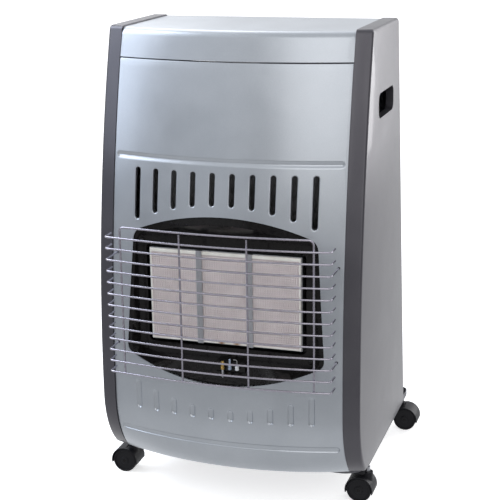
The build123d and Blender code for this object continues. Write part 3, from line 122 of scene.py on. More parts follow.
class Shader(Graph):
    """A material's node tree round its surface shader."""

    def __init__(self, name: str) -> None:
        """Start a material of this name."""
        self.material = bpy.data.materials.new(name)
        self.material.use_nodes = True
        super().__init__(self.material.node_tree)
        self.surface = self.tree.nodes["Principled BSDF"]

    def blend(self, share: object, first: object, second: object) -> bpy.types.NodeSocket:
        """Mix two colours.

        Args:
            share: how much of the second, a socket or a number.
            first: colour or socket.
            second: colour or socket.

        Returns:
            The mixed colour's socket.
        """
        first, second = (v if isinstance(v, bpy.types.NodeSocket) else (*v, 1.0) for v in (first, second))
        return self.add("Mix", {0: share, 6: first, 7: second}, data_type="RGBA").outputs[2]

    def noise(self, place: bpy.types.NodeSocket, size: float, detail: float = 2.0) -> bpy.types.NodeSocket:
        """Cloudy pattern whose blots are about one size across, in metres."""
        return self.add("TexNoise", {"Vector": place, "Scale": 1.0 / size, "Detail": detail}).outputs[0]

    def cells(self, place: bpy.types.NodeSocket, size: float) -> bpy.types.NodeSocket:
        """Random value for each cell, the cells about one size across, in metres."""
        node = self.add("TexVoronoi", {"Vector": place, "Scale": 1.0 / size})
        return self.add("SeparateColor", {0: node.outputs["Color"]}).outputs[0]

    def place(self, stretch: Point3 = (1.0, 1.0, 1.0)) -> bpy.types.NodeSocket:
        """Place on the piece, squeezed along each axis by a factor."""
        coords = self.add("TexCoord")
        return self.add("Mapping", {0: coords.outputs["Object"], "Scale": stretch}).outputs[0]

    def height(self, value: bpy.types.NodeSocket, rise: float) -> None:
        """Give the surface a relief of this rise in metres, from a pattern between 0 and 1."""
        self.set(Normal=self.add("Bump", {"Distance": rise, "Height": value}).outputs[0])

    def set(self, **values: object) -> None:
        """Feed the surface shader's own inputs, spaces in their names written as underscores."""
        for key, value in values.items():
            self.feed(self.surface.inputs[key.replace("_", " ")], value)


class NodeTree(Graph):
    """A Geometry Nodes tree with named inputs."""

    prefix = "GeometryNode"
    weld: float = 0.002 * MM

    def __init__(self, name: str) -> None:
        """Start a tree of this name, with a geometry input and output."""
        super().__init__(bpy.data.node_groups.new(name, "GeometryNodeTree"))
        self.sockets: dict[str, str] = {}
        for way in ("INPUT", "OUTPUT"):
            self.tree.interface.new_socket("Geometry", in_out=way, socket_type="NodeSocketGeometry")
        self.start = self.add("NodeGroupInput")
        self.end = self.add("NodeGroupOutput")

    def input(self, name: str, kind: str) -> bpy.types.NodeSocket:
        """Add a named input.

        Args:
            name: the input's name.
            kind: Float, Int, Object, Material or Vector.

        Returns:
            The socket inside the tree.
        """
        socket = self.tree.interface.new_socket(name, in_out="INPUT", socket_type="NodeSocket" + kind)
        self.sockets[name] = socket.identifier
        return self.start.outputs[name]

    def copies(self, points: bpy.types.NodeSocket, shape: bpy.types.NodeSocket, **inputs: object) -> None:
        """End the tree with copies of a shape on points: welded, and in one material.

        Args:
            points: where the copies go.
            shape: what is copied.
            inputs: further inputs of the copying node.
        """
        spread = self.add("InstanceOnPoints", {"Points": points, "Instance": shape, **inputs})
        real = self.add("RealizeInstances", {"Geometry": spread.outputs[0]})
        welded = self.add("MergeByDistance", {"Geometry": real.outputs[0], "Distance": self.weld})
        painted = self.add("SetMaterial", {"Geometry": welded.outputs[0],
                                           "Material": self.input("Material", "Material")})
        self.feed(self.end.inputs[0], painted.outputs[0])

    def run(self, piece: bpy.types.Object, **values: object) -> None:
        """Run the tree on a piece and keep the plain mesh that it makes.

        Args:
            piece: the piece, which takes the new mesh.
            values: the inputs by name.
        """
        modifier = piece.modifiers.new(self.tree.name, "NODES")
        modifier.node_group = self.tree
        for key, value in values.items():
            modifier[self.sockets[key]] = value
        settle(piece)


def wire_rows_tree() -> NodeTree:
    """Tree that turns a path into a round wire and repeats it upwards."""
    nodes = NodeTree("wire_rows")
    count, pitch = nodes.input("Count", "Int"), nodes.input("Pitch", "Float")
    radius = nodes.input("Radius", "Float")
    ring = nodes.add("CurvePrimitiveCircle", {"Resolution": WIRE_SIDES, "Radius": radius})
    path = nodes.add("MeshToCurve", {"Mesh": nodes.start.outputs[0]})
    wire = nodes.add("CurveToMesh", {"Curve": path.outputs[0], "Profile Curve": ring.outputs[0],
                                     "Fill Caps": True})
    step = nodes.add("ShaderNodeCombineXYZ", {"Z": pitch})
    line = nodes.add("MeshLine", {"Count": count, "Offset": step.outputs[0]})
    nodes.copies(line.outputs[0], wire.outputs[0])
    return nodes


def cell_grid_tree() -> NodeTree:
    """Tree that fills an upright rectangle with copies of one perforated cell."""
    nodes = NodeTree("perforated_field")
    cell = nodes.add("ObjectInfo", {"Object": nodes.input("Cell", "Object")})
    sides = {"Size X": nodes.input("Width", "Float"), "Size Y": nodes.input("Height", "Float")}
    counts = {"Vertices X": nodes.input("Columns", "Int"), "Vertices Y": nodes.input("Rows", "Int")}
    grid = nodes.add("MeshGrid", sides | counts)
    upright = nodes.add("Transform", {"Geometry": grid.outputs[0], "Rotation": (math.pi / 2, 0.0, 0.0),
                                      "Translation": nodes.input("Centre", "Vector")})
    nodes.copies(upright.outputs[0], cell.outputs["Geometry"])
    return nodes


def heads_tree() -> NodeTree:
    """Tree that sets a screw head on every point, each turned by its own angle."""
    nodes = NodeTree("screw_heads")
    head = nodes.add("ObjectInfo", {"Object": nodes.input("Head", "Object")})
    turn = nodes.add("FunctionNodeRandomValue", {"Max": math.pi, "Seed": nodes.input("Seed", "Int")},
                     data_type="FLOAT")
    spin = nodes.add("ShaderNodeCombineXYZ", {"Z": turn.outputs[1]})
    facing = nodes.input("Facing", "Vector")
    aim = nodes.add("FunctionNodeAlignRotationToVector", {"Vector": facing}, axis="Z")
    both = nodes.add("FunctionNodeRotateRotation", {0: aim.outputs[0], 1: spin.outputs[0]},
                     rotation_space="LOCAL")
    nodes.copies(nodes.start.outputs[0], head.outputs["Geometry"], Rotation=both.outputs[0])
    return nodes


# ---------------------------------------------------------------- finishes
class Grain(Enum):
    """Fine pattern of a surface."""

    FLAKE = "flake"
    PEEL = "peel"
    BRUSHED = "brushed"
    MOULDED = "moulded"
    SPANGLE = "spangle"
    FIRED = "fired"


NOISE_DETAIL: dict[Grain, float] = {Grain.PEEL: 1.0, Grain.BRUSHED: 4.0, Grain.MOULDED: 3.0, Grain.FIRED: 6.0}
GRAIN_SPAN = (0.3, 0.7)
CLOUD_SPAN = (0.35, 0.65)
PAINT_WAVE = 12 * MM
COAT_ROUGHNESS = 0.08


@dataclass(frozen=True)
class Finish:
    """One finish of the heater.

    Colours are linear. The grain varies the colour from colour to second, and the roughness from
    its first value to its second. Clouds of cloud_size take the share cloud of that.
    """

    name: str
    colour: Colour
    second: Colour
    metallic: float
    roughness: tuple[float, float]
    grain: Grain
    grain_size: float
    relief: float
    coat: float = 0.0
    gloss: float = 0.5
    cloud_size: float = 0.06
    cloud: float = 0.15
    stretch: Point3 = (1.0, 1.0, 1.0)

    def pattern(self, shader: Shader) -> bpy.types.NodeSocket:
        """Lay down the grain.

        Args:
            shader: the material in the making.

        Returns:
            The pattern's socket, from 0 to 1.
        """
        place = shader.place(self.stretch)
        if self.grain in (Grain.FLAKE, Grain.SPANGLE):
            return shader.cells(place, self.grain_size)
        return shader.ramp(shader.noise(place, self.grain_size, NOISE_DETAIL[self.grain]), *GRAIN_SPAN)

    def build(self) -> bpy.types.Material:
        """Make the material.

        Returns:
            The material, with grain, clouding and relief.
        """
        shader = Shader(self.name)
        grain = self.pattern(shader)
        clouds = shader.ramp(shader.noise(shader.place(), self.cloud_size, 3.0), *CLOUD_SPAN)
        mixed = shader.math("ADD", shader.math("MULTIPLY", grain, 1.0 - self.cloud),
                            shader.math("MULTIPLY", clouds, self.cloud))
        low, high = self.roughness
        shader.set(Base_Color=shader.blend(mixed, self.colour, self.second),
                   Roughness=shader.math("ADD", shader.math("MULTIPLY", mixed, high - low), low),
                   Metallic=self.metallic, Specular_IOR_Level=self.gloss,
                   Coat_Weight=self.coat, Coat_Roughness=COAT_ROUGHNESS)
        flakes = self.grain is Grain.FLAKE
        shader.height(shader.noise(shader.place(), PAINT_WAVE) if flakes else grain, self.relief)
        return shader.material


@dataclass(frozen=True)
class PlaqueFinish:
    """Fired ceramic, unevenly clouded, with scorched spots along the lower edge."""

    name: str = "burner_ceramic"
    colour: Colour = (0.76, 0.69, 0.69)
    pale: Colour = (0.86, 0.79, 0.79)
    cloud_size: float = 22 * MM
    scorch: Colour = (0.30, 0.13, 0.045)
    scorch_places: tuple[Point2, ...] = ((-0.0062, 0.2772), (0.0180, 0.2775), (0.0395, 0.2782))
    scorch_radius: float = 6.5 * MM
    scorch_fade: float = 2 * MM
    scorch_shape: Point3 = (1.0, 0.0, 1.6)
    ragged_size: float = 4 * MM
    ragged: float = 3 * MM
    roughness: float = 0.85
    pore: float = 0.8 * MM
    relief: float = 0.05 * MM

    def build(self) -> bpy.types.Material:
        """Make the material.

        Returns:
            The material of the perforated plaques.
        """
        shader = Shader(self.name)
        place = shader.place()
        clouds = shader.ramp(shader.noise(place, self.cloud_size, 4.0), *GRAIN_SPAN)
        stain: object = 0.0
        for x, z in self.scorch_places:
            way = shader.add("VectorMath", {0: place, 1: (x, 0.0, z)}, operation="SUBTRACT").outputs[0]
            flat = shader.add("VectorMath", {0: way, 1: self.scorch_shape}, operation="MULTIPLY").outputs[0]
            length = shader.add("VectorMath", {0: flat}, operation="LENGTH")
            wobble = shader.math("MULTIPLY", shader.noise(place, self.ragged_size, 3.0), self.ragged)
            reach = shader.math("ADD", length.outputs["Value"], wobble)
            spot = shader.ramp(reach, self.scorch_radius + self.scorch_fade, self.scorch_fade)
            stain = shader.math("MAXIMUM", spot, stain)
        body = shader.blend(clouds, self.colour, self.pale)
        shader.set(Base_Color=shader.blend(stain, body, self.scorch), Roughness=self.roughness)
        shader.height(shader.noise(place, self.pore), self.relief)
        return shader.material


class Palette:
    """All finishes, each made once."""

    FINISHES: tuple[Finish | PlaqueFinish, ...] = (
        Finish("silver_paint", (0.43, 0.46, 0.50), (0.53, 0.56, 0.60), 0.75, (0.28, 0.38),
               Grain.FLAKE, 0.35 * MM, 0.03 * MM, coat=0.25, cloud=0.35),
        Finish("dark_silver_paint", (0.080, 0.077, 0.090), (0.105, 0.101, 0.115), 0.6, (0.30, 0.40),
               Grain.FLAKE, 0.35 * MM, 0.03 * MM, coat=0.2, cloud=0.35),
        Finish("black_enamel", (0.006, 0.0055, 0.0055), (0.011, 0.010, 0.010), 0.0, (0.09, 0.15),
               Grain.PEEL, 6 * MM, 0.05 * MM, coat=0.1, gloss=0.22),
        Finish("chrome_wire", (0.40, 0.38, 0.44), (0.49, 0.47, 0.53), 1.0, (0.14, 0.26),
               Grain.PEEL, 4 * MM, 0.01 * MM),
        Finish("blued_steel", (0.36, 0.44, 0.58), (0.55, 0.63, 0.76), 0.5, (0.22, 0.36),
               Grain.BRUSHED, 0.5 * MM, 0.02 * MM, stretch=(1.0, 1.0, 0.1)),
        Finish("white_ceramic", (0.70, 0.72, 0.76), (0.85, 0.86, 0.88), 0.0, (0.15, 0.30),
               Grain.FIRED, 2 * MM, 0.02 * MM, coat=0.5),
        Finish("bright_steel", (0.42, 0.43, 0.46), (0.58, 0.59, 0.62), 1.0, (0.25, 0.42),
               Grain.BRUSHED, 0.6 * MM, 0.02 * MM, stretch=(1.0, 1.0, 0.05)),
        Finish("burner_steel", (0.34, 0.34, 0.34), (0.52, 0.52, 0.53), 0.9, (0.35, 0.55),
               Grain.SPANGLE, 7 * MM, 0.02 * MM),
        Finish("brass", (0.50, 0.33, 0.10), (0.66, 0.46, 0.17), 1.0, (0.22, 0.38),
               Grain.BRUSHED, 0.5 * MM, 0.02 * MM, stretch=(1.0, 1.0, 6.0)),
        Finish("pipe_metal", (0.50, 0.50, 0.52), (0.66, 0.66, 0.68), 1.0, (0.28, 0.44),
               Grain.BRUSHED, 1.0 * MM, 0.02 * MM, stretch=(1.0, 1.0, 0.1)),
        Finish("dark_tray_paint", (0.10, 0.10, 0.115), (0.14, 0.14, 0.155), 0.3, (0.38, 0.50),
               Grain.PEEL, 5 * MM, 0.06 * MM),
        Finish("black_plastic", (0.009, 0.009, 0.012), (0.016, 0.016, 0.020), 0.0, (0.42, 0.56),
               Grain.MOULDED, 0.7 * MM, 0.05 * MM, gloss=0.25),
        Finish("wheel_plastic", (0.008, 0.008, 0.010), (0.015, 0.015, 0.018), 0.0, (0.50, 0.66),
               Grain.MOULDED, 0.9 * MM, 0.07 * MM, gloss=0.25),
        PlaqueFinish(),
        PlaqueFinish("ceramic_rim", (0.80, 0.77, 0.70), (0.92, 0.91, 0.87)),
    )

    def __init__(self) -> None:
        """Start with no material made."""
        self.made: dict[str, bpy.types.Material] = {}

    def get(self, name: str) -> bpy.types.Material:
        """Give a material, and make it the first time.

        Args:
            name: the finish's name.

        Returns:
            The material.
        """
        if name not in self.made:
            self.made[name] = next(f for f in self.FINISHES if f.name == name).build()
        return self.made[name]


# ---------------------------------------------------------------- mesh work
def mesh_object(bm: bmesh.types.BMesh, name: str) -> bpy.types.Object:
    """Turn a working mesh into an object at the origin.

    Args:
        bm: the working mesh, which is freed.
        name: name of the piece.

    Returns:
        The new object.
    """
    mesh = bpy.data.meshes.new(name)
    bm.to_mesh(mesh)
    bm.free()
    piece = bpy.data.objects.new(name, mesh)
    bpy.context.scene.collection.objects.link(piece)
    return piece


def solid_copy(node: str, weld: float = 0.004 * MM, flat: float = 0.1) -> bmesh.types.BMesh:
    """Copy a frame node with its triangles welded and its flat faces whole.

    Args:
        node: name of the node.
        weld: points closer than this become one.
        flat: faces that meet at less than this many degrees become one.

    Returns:
        The working mesh.
    """
    bm = bmesh.new()
    bm.from_mesh(frame["nodes"][node].data)
    bmesh.ops.remove_doubles(bm, verts=bm.verts, dist=weld)
    bmesh.ops.dissolve_limit(bm, angle_limit=math.radians(flat), verts=bm.verts, edges=bm.edges)
    return bm


def shade(piece: bpy.types.Object, angle: float) -> None:
    """Shade a piece smooth, with creases where faces meet at more than an angle in degrees."""
    piece.data.shade_smooth()
    piece.data.set_sharp_from_angle(angle=math.radians(angle))


def soften(piece: bpy.types.Object, width: float, segments: int = 2, angle: float = 34.0) -> None:
    """Round a piece's sharp edges.

    Args:
        piece: the piece.
        width: width of the rounding in metres.
        segments: steps across it.
        angle: edges sharper than this many degrees are rounded.
    """
    bevel = piece.modifiers.new("rounded_edges", "BEVEL")
    bevel.width, bevel.segments = width, segments
    bevel.limit_method, bevel.angle_limit = "ANGLE", math.radians(angle)
    bevel.harden_normals = True
    bevel.use_clamp_overlap = True


def thicken(piece: bpy.types.Object, wall: float) -> None:
    """Give a sheet its wall, towards the side away from its faces."""
    sheet = piece.modifiers.new("wall", "SOLIDIFY")
    sheet.thickness, sheet.offset = wall, -1.0


def settle(piece: bpy.types.Object) -> None:
    """Turn a piece and its modifiers into a plain mesh.

    Args:
        piece: the piece, which keeps its name.
    """
    graph = bpy.context.evaluated_depsgraph_get()
    mesh = bpy.data.meshes.new_from_object(piece.evaluated_get(graph), preserve_all_data_layers=True,
                                           depsgraph=graph)
    piece.modifiers.clear()
    piece.data = mesh


def face_front(bm: bmesh.types.BMesh) -> None:
    """Turn all faces of an open sheet the same way, towards -Y.

    Args:
        bm: the working mesh.
    """
    bmesh.ops.recalc_face_normals(bm, faces=bm.faces)
    if sum(f.normal.y * f.calc_area() for f in bm.faces) > 0:
        bmesh.ops.reverse_faces(bm, faces=bm.faces)


def add_ring(bm: bmesh.types.BMesh, middle: Vector, across: Vector, other: Vector, radius: float,
             steps: int) -> list[bmesh.types.BMVert]:
    """Add a ring of points round a middle, or one point where the radius is nothing.

    Args:
        bm: the working mesh.
        middle: the ring's middle.
        across: direction of the first point.
        other: direction of the point a quarter turn on.
        radius: the ring's radius.
        steps: points in the ring.

    Returns:
        The points.
    """
    if radius < 1e-7:
        return [bm.verts.new(middle)]
    turns = (2 * math.pi * i / steps for i in range(steps))
    return [bm.verts.new(middle + (across * math.cos(t) + other * math.sin(t)) * radius) for t in turns]


def skin(bm: bmesh.types.BMesh, rings: Sequence[list[bmesh.types.BMVert]], steps: int) -> None:
    """Join neighbouring rings by faces.

    Args:
        bm: the working mesh.
        rings: the rings, of which any may be one point.
        steps: points in the other rings.
    """
    for first, second in zip(rings, rings[1:]):
        for i in range(steps):
            j = (i + 1) % steps
            corners = (first[i % len(first)], first[j % len(first)],
                       second[j % len(second)], second[i % len(second)])
            bm.faces.new(tuple(dict.fromkeys(corners)))


def turned(profile: Sequence[Point2], centre: Vector, axis: Vector, steps: int = 32) -> bmesh.types.BMesh:
    """Turn a profile about an axis.

    Args:
        profile: points as radius and distance along the axis, from one pole to the other.
        centre: point on the axis where the distance is zero.
        axis: direction of the axis.
        steps: points round the axis.

    Returns:
        The working mesh.
    """
    bm = bmesh.new()
    across = axis.orthogonal().normalized()
    other = axis.cross(across)
    rings = [add_ring(bm, centre + axis * along, across, other, radius, steps) for radius, along in profile]
    skin(bm, rings, steps)
    bmesh.ops.recalc_face_normals(bm, faces=bm.faces)
    return bm


def tube(path: Sequence[Vector], radius: float, sides: int = WIRE_SIDES) -> bmesh.types.BMesh:
    """Round wire along a path with closed ends.

    Args:
        path: the wire's middle line.
        radius: radius of the wire.
        sides: points round it.

    Returns:
        The working mesh.
    """
    bm = bmesh.new()
    across = (path[1] - path[0]).normalized().orthogonal().normalized()
    rings = []
    for before, point, after in zip([path[0], *path], path, [*path[1:], path[-1]]):
        tangent = (after - before).normalized()
        across = (across - tangent * across.dot(tangent)).normalized()
        rings.append(add_ring(bm, point, across, tangent.cross(across), radius, sides))
    skin(bm, rings, sides)
    bm.faces.new(rings[0][::-1])
    bm.faces.new(rings[-1])
    bmesh.ops.recalc_face_normals(bm, faces=bm.faces)
    return bm


def bend(path: list[Vector], way: Vector, up: Vector, radius: float, turn: float = math.pi / 2) -> None:
    """Carry a path on round an arc that falls away from a direction.

    Args:
        path: the path, which grows.
        way: its direction at its end.
        up: direction away from the arc's middle.
        radius: the arc's radius.
        turn: how far it turns, in radians.
    """
    centre = path[-1] - up * radius
    for i in range(1, BEND_STEPS + 1):
        angle = turn * i / BEND_STEPS
        path.append(centre + (way * math.sin(angle) + up * math.cos(angle)) * radius)


def mirrored(right: Sequence[Vector]) -> list[Vector]:
    """Whole path from its right half, which starts in the middle."""
    return [Vector((-p.x, p.y, p.z)) for p in reversed(right[1:])] + list(right)


def in_mm(*points: Point2) -> list[Point2]:
    """Points in metres from points in millimetres."""
    return [(a * MM, b * MM) for a, b in points]


def arc(centre: Point2, radius: float, start: float, end: float, steps: int) -> list[Point2]:
    """Points along an arc, angles in degrees."""
    turns = np.radians(np.linspace(start, end, steps + 1))
    return [(centre[0] + radius * math.cos(t), centre[1] + radius * math.sin(t)) for t in turns]


def rounded(x: float, low: float, high: float, radius: float) -> list[Point2]:
    """Outline of an upright rectangle with round corners.

    Args:
        x: its half width.
        low: its lower edge.
        high: its upper edge.
        radius: radius of every corner.

    Returns:
        The outline's points, anticlockwise from the lower left.
    """
    outline: list[Point2] = []
    x, low, high = x - radius, low + radius, high - radius
    for middle, start in (((-x, low), 180), ((x, low), 270), ((x, high), 0), ((-x, high), 90)):
        outline += arc(middle, radius, start, start + 90, 6)
    return outline


# ---------------------------------------------------------------- the cabinet's front
@dataclass(frozen=True)
class BowedFront:
    """The curved face that the front panel, the cover's apron and the bezel share."""

    edge_x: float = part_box("front_panel")[1].x + 0.3 * MM
    middle_y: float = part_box("front_panel")[0].y
    bow: float = 27.6 * MM
    recess: float = 5.6 * MM
    upper_z: float = 0.200
    upper_radius: float = 1.900
    lower_z: float = 0.172
    lower_radius: float = 0.138

    @property
    def bow_radius(self) -> float:
        """Radius of the bow in plan."""
        return (self.edge_x ** 2 + self.bow ** 2) / (2 * self.bow)

    @property
    def nose_y(self) -> float:
        """Depth of the side panels' foremost line."""
        return self.middle_y + self.bow + self.recess

    def y(self, x: float, z: float, depth: float = 0.0) -> float:
        """Depth of the face, or of a layer behind it.

        Args:
            x: distance from the middle.
            z: height.
            depth: how far behind the face.

        Returns:
            The y coordinate.
        """
        radius = self.bow_radius
        y = self.middle_y + radius - math.sqrt((radius - depth) ** 2 - x * x)
        if z > self.upper_z:
            centre, rise = self.nose_y + self.upper_radius, z - self.upper_z
        elif z < self.lower_z:
            centre, rise = self.nose_y + self.lower_radius, self.lower_z - z
        else:
            return y
        return centre - math.sqrt((centre - y) ** 2 - rise * rise)

    def point(self, x: float, z: float, depth: float = 0.0) -> Vector:
        """Point on the face, or behind it by a depth."""
        return Vector((x, self.y(x, z, depth), z))


@dataclass(frozen=True)
class Stadium:
    """A round-ended slot drawn on the front, lying or upright."""

    x: float
    z: float
    half_x: float
    half_z: float
    radius: float

    def distance(self, x: float, z: float) -> float:
        """Distance from the slot's edge, negative inside."""
        dx = max(abs(x - self.x) - self.half_x, 0.0)
        dz = max(abs(z - self.z) - self.half_z, 0.0)
        return math.hypot(dx, dz) - self.radius

    def outline(self, grow: float, steps: int = 8) -> list[Point2]:
        """Points round the slot.

        Args:
            grow: how far outwards from the slot's edge.
            steps: steps round each end.

        Returns:
            The points.
        """
        start = -90 if self.half_x > self.half_z else 0
        ends = [arc((self.x + side * self.half_x, self.z + side * self.half_z), self.radius + grow,
                    turn, turn + 180, steps) for side, turn in ((1, start), (-1, start + 180))]
        return self.filled(ends[0] + ends[1])

    @staticmethod
    def filled(points: list[Point2], longest: float = 7 * MM) -> list[Point2]:
        """Add points on the long sides of a closed outline.

        Args:
            points: the outline.
            longest: longest side that stays whole.

        Returns:
            The fuller outline.
        """
        full: list[Point2] = []
        for a, b in zip(points, points[1:] + points[:1]):
            count = max(1, math.ceil(math.dist(a, b) / longest))
            full += [tuple(p + (q - p) * i / count for p, q in zip(a, b)) for i in range(count)]
        return full


@dataclass(frozen=True)
class BurnerOpening:
    """Outline of the burner opening: two arcs and two slanting sides with round corners."""

    top_z: float = 477.0 * MM
    bottom_z: float = 219.5 * MM
    top_radius: float = 347.0 * MM
    bottom_radius: float = 352.0 * MM
    top_half: float = 145.0 * MM
    bottom_half: float = 157.7 * MM
    top_corner: float = 22.0 * MM
    bottom_corner: float = 15.0 * MM

    def arch_z(self, x: float, low: bool = False) -> float:
        """Height of the upper or lower edge at a distance from the middle."""
        if low:
            return self.bottom_z + self.bottom_radius - math.sqrt(self.bottom_radius ** 2 - x * x)
        return self.top_z - self.top_radius + math.sqrt(self.top_radius ** 2 - x * x)

    def outline(self, steps: int = 40) -> list[Point2]:
        """Points round the opening, anticlockwise from the lower left.

        Args:
            steps: steps along each arc.

        Returns:
            The points.
        """
        low = [(x, self.arch_z(x, True)) for x in np.linspace(-self.bottom_half, self.bottom_half, steps)]
        high = [(x, self.arch_z(x)) for x in np.linspace(self.top_half, -self.top_half, steps)]
        corners = dict.fromkeys((0, steps - 1), self.bottom_corner)
        corners |= dict.fromkeys((steps, 2 * steps - 1), self.top_corner)
        return self.round_off(low + high, corners)

    @staticmethod
    def round_off(raw: list[Point2], corners: dict[int, float]) -> list[Point2]:
        """Replace corners of a dense outline by curves.

        Args:
            raw: the outline.
            corners: index of each corner and its radius.

        Returns:
            The outline with round corners.
        """
        points = np.array(raw)
        reaches, curves = {}, {}
        for i, radius in corners.items():
            here = points[i]
            before, after = points[i - 1] - here, points[(i + 1) % len(points)] - here
            before, after = before / np.linalg.norm(before), after / np.linalg.norm(after)
            turn = math.pi - math.acos(float(before @ after))
            reaches[i] = radius * math.tan(turn / 2)
            start, end = here + before * reaches[i], here + after * reaches[i]
            curves[i] = [tuple((1 - t) ** 2 * start + 2 * t * (1 - t) * here + t * t * end)
                         for t in np.linspace(0, 1, 9)]
        result: list[Point2] = []
        for i, point in enumerate(points):
            if i in curves:
                result += curves[i]
            elif all(np.linalg.norm(point - points[k]) > reaches[k] for k in reaches):
                result.append(tuple(point))
        return result


def inside(outline: Sequence[Point2], x: float, z: float) -> bool:
    """Whether a point lies inside a closed outline.

    Args:
        outline: the outline's points.
        x: the point's first coordinate.
        z: its second one.

    Returns:
        True inside.
    """
    found = False
    for (x0, z0), (x1, z1) in zip(outline, list(outline[1:]) + [outline[0]]):
        if (z0 > z) != (z1 > z) and x < x0 + (z - z0) / (z1 - z0) * (x1 - x0):
            found = not found
    return found


FRONT = BowedFront()
OPENING = BurnerOpening()


# ---------------------------------------------------------------- sub-assemblies
@dataclass
class SubAssembly:
    """Pieces that are made and dressed together."""

    palette: Palette
    made: list[str] = field(default_factory=list)

    def dress(self, piece: bpy.types.Object, finish: str, *nodes: str) -> None:
        """Give a piece its finish and its place in the frame.

        Args:
            piece: the finished piece.
            finish: name of its finish.
            nodes: the frame nodes that it stands for; it rides on the body of the first.
        """
        if not piece.data.materials:
            piece.data.materials.append(self.palette.get(finish))
        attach(piece, BODY_OF[nodes[0]])
        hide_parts(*nodes)
        self.made.append(piece.name)
        LOG.info("%s on %s", piece.name, BODY_OF[nodes[0]])

    def make(self, bm: bmesh.types.BMesh, name: str, angle: float, finish: str, node: str) -> None:
        """Turn a working mesh into a smooth, dressed piece.

        Args:
            bm: the working mesh.
            name: name of the piece.
            angle: creases sharper than this many degrees stay.
            finish: name of its finish.
            node: the frame node that it stands for.
        """
        piece = mesh_object(bm, name)
        shade(piece, angle)
        self.dress(piece, finish, node)

    def copy(self, node: str, finish: str, rounding: float, angle: float = 34.0) -> None:
        """Make a piece from a frame node's own shape, smooth and with rounded edges.

        Args:
            node: the node.
            finish: its finish.
            rounding: width of the rounding of its sharp edges, in millimetres.
            angle: creases sharper than this many degrees stay.
        """
        piece = mesh_object(solid_copy(node), node + "_finished")
        shade(piece, angle)
        if rounding:
            soften(piece, rounding * MM, angle=angle)
        self.dress(piece, finish, node)


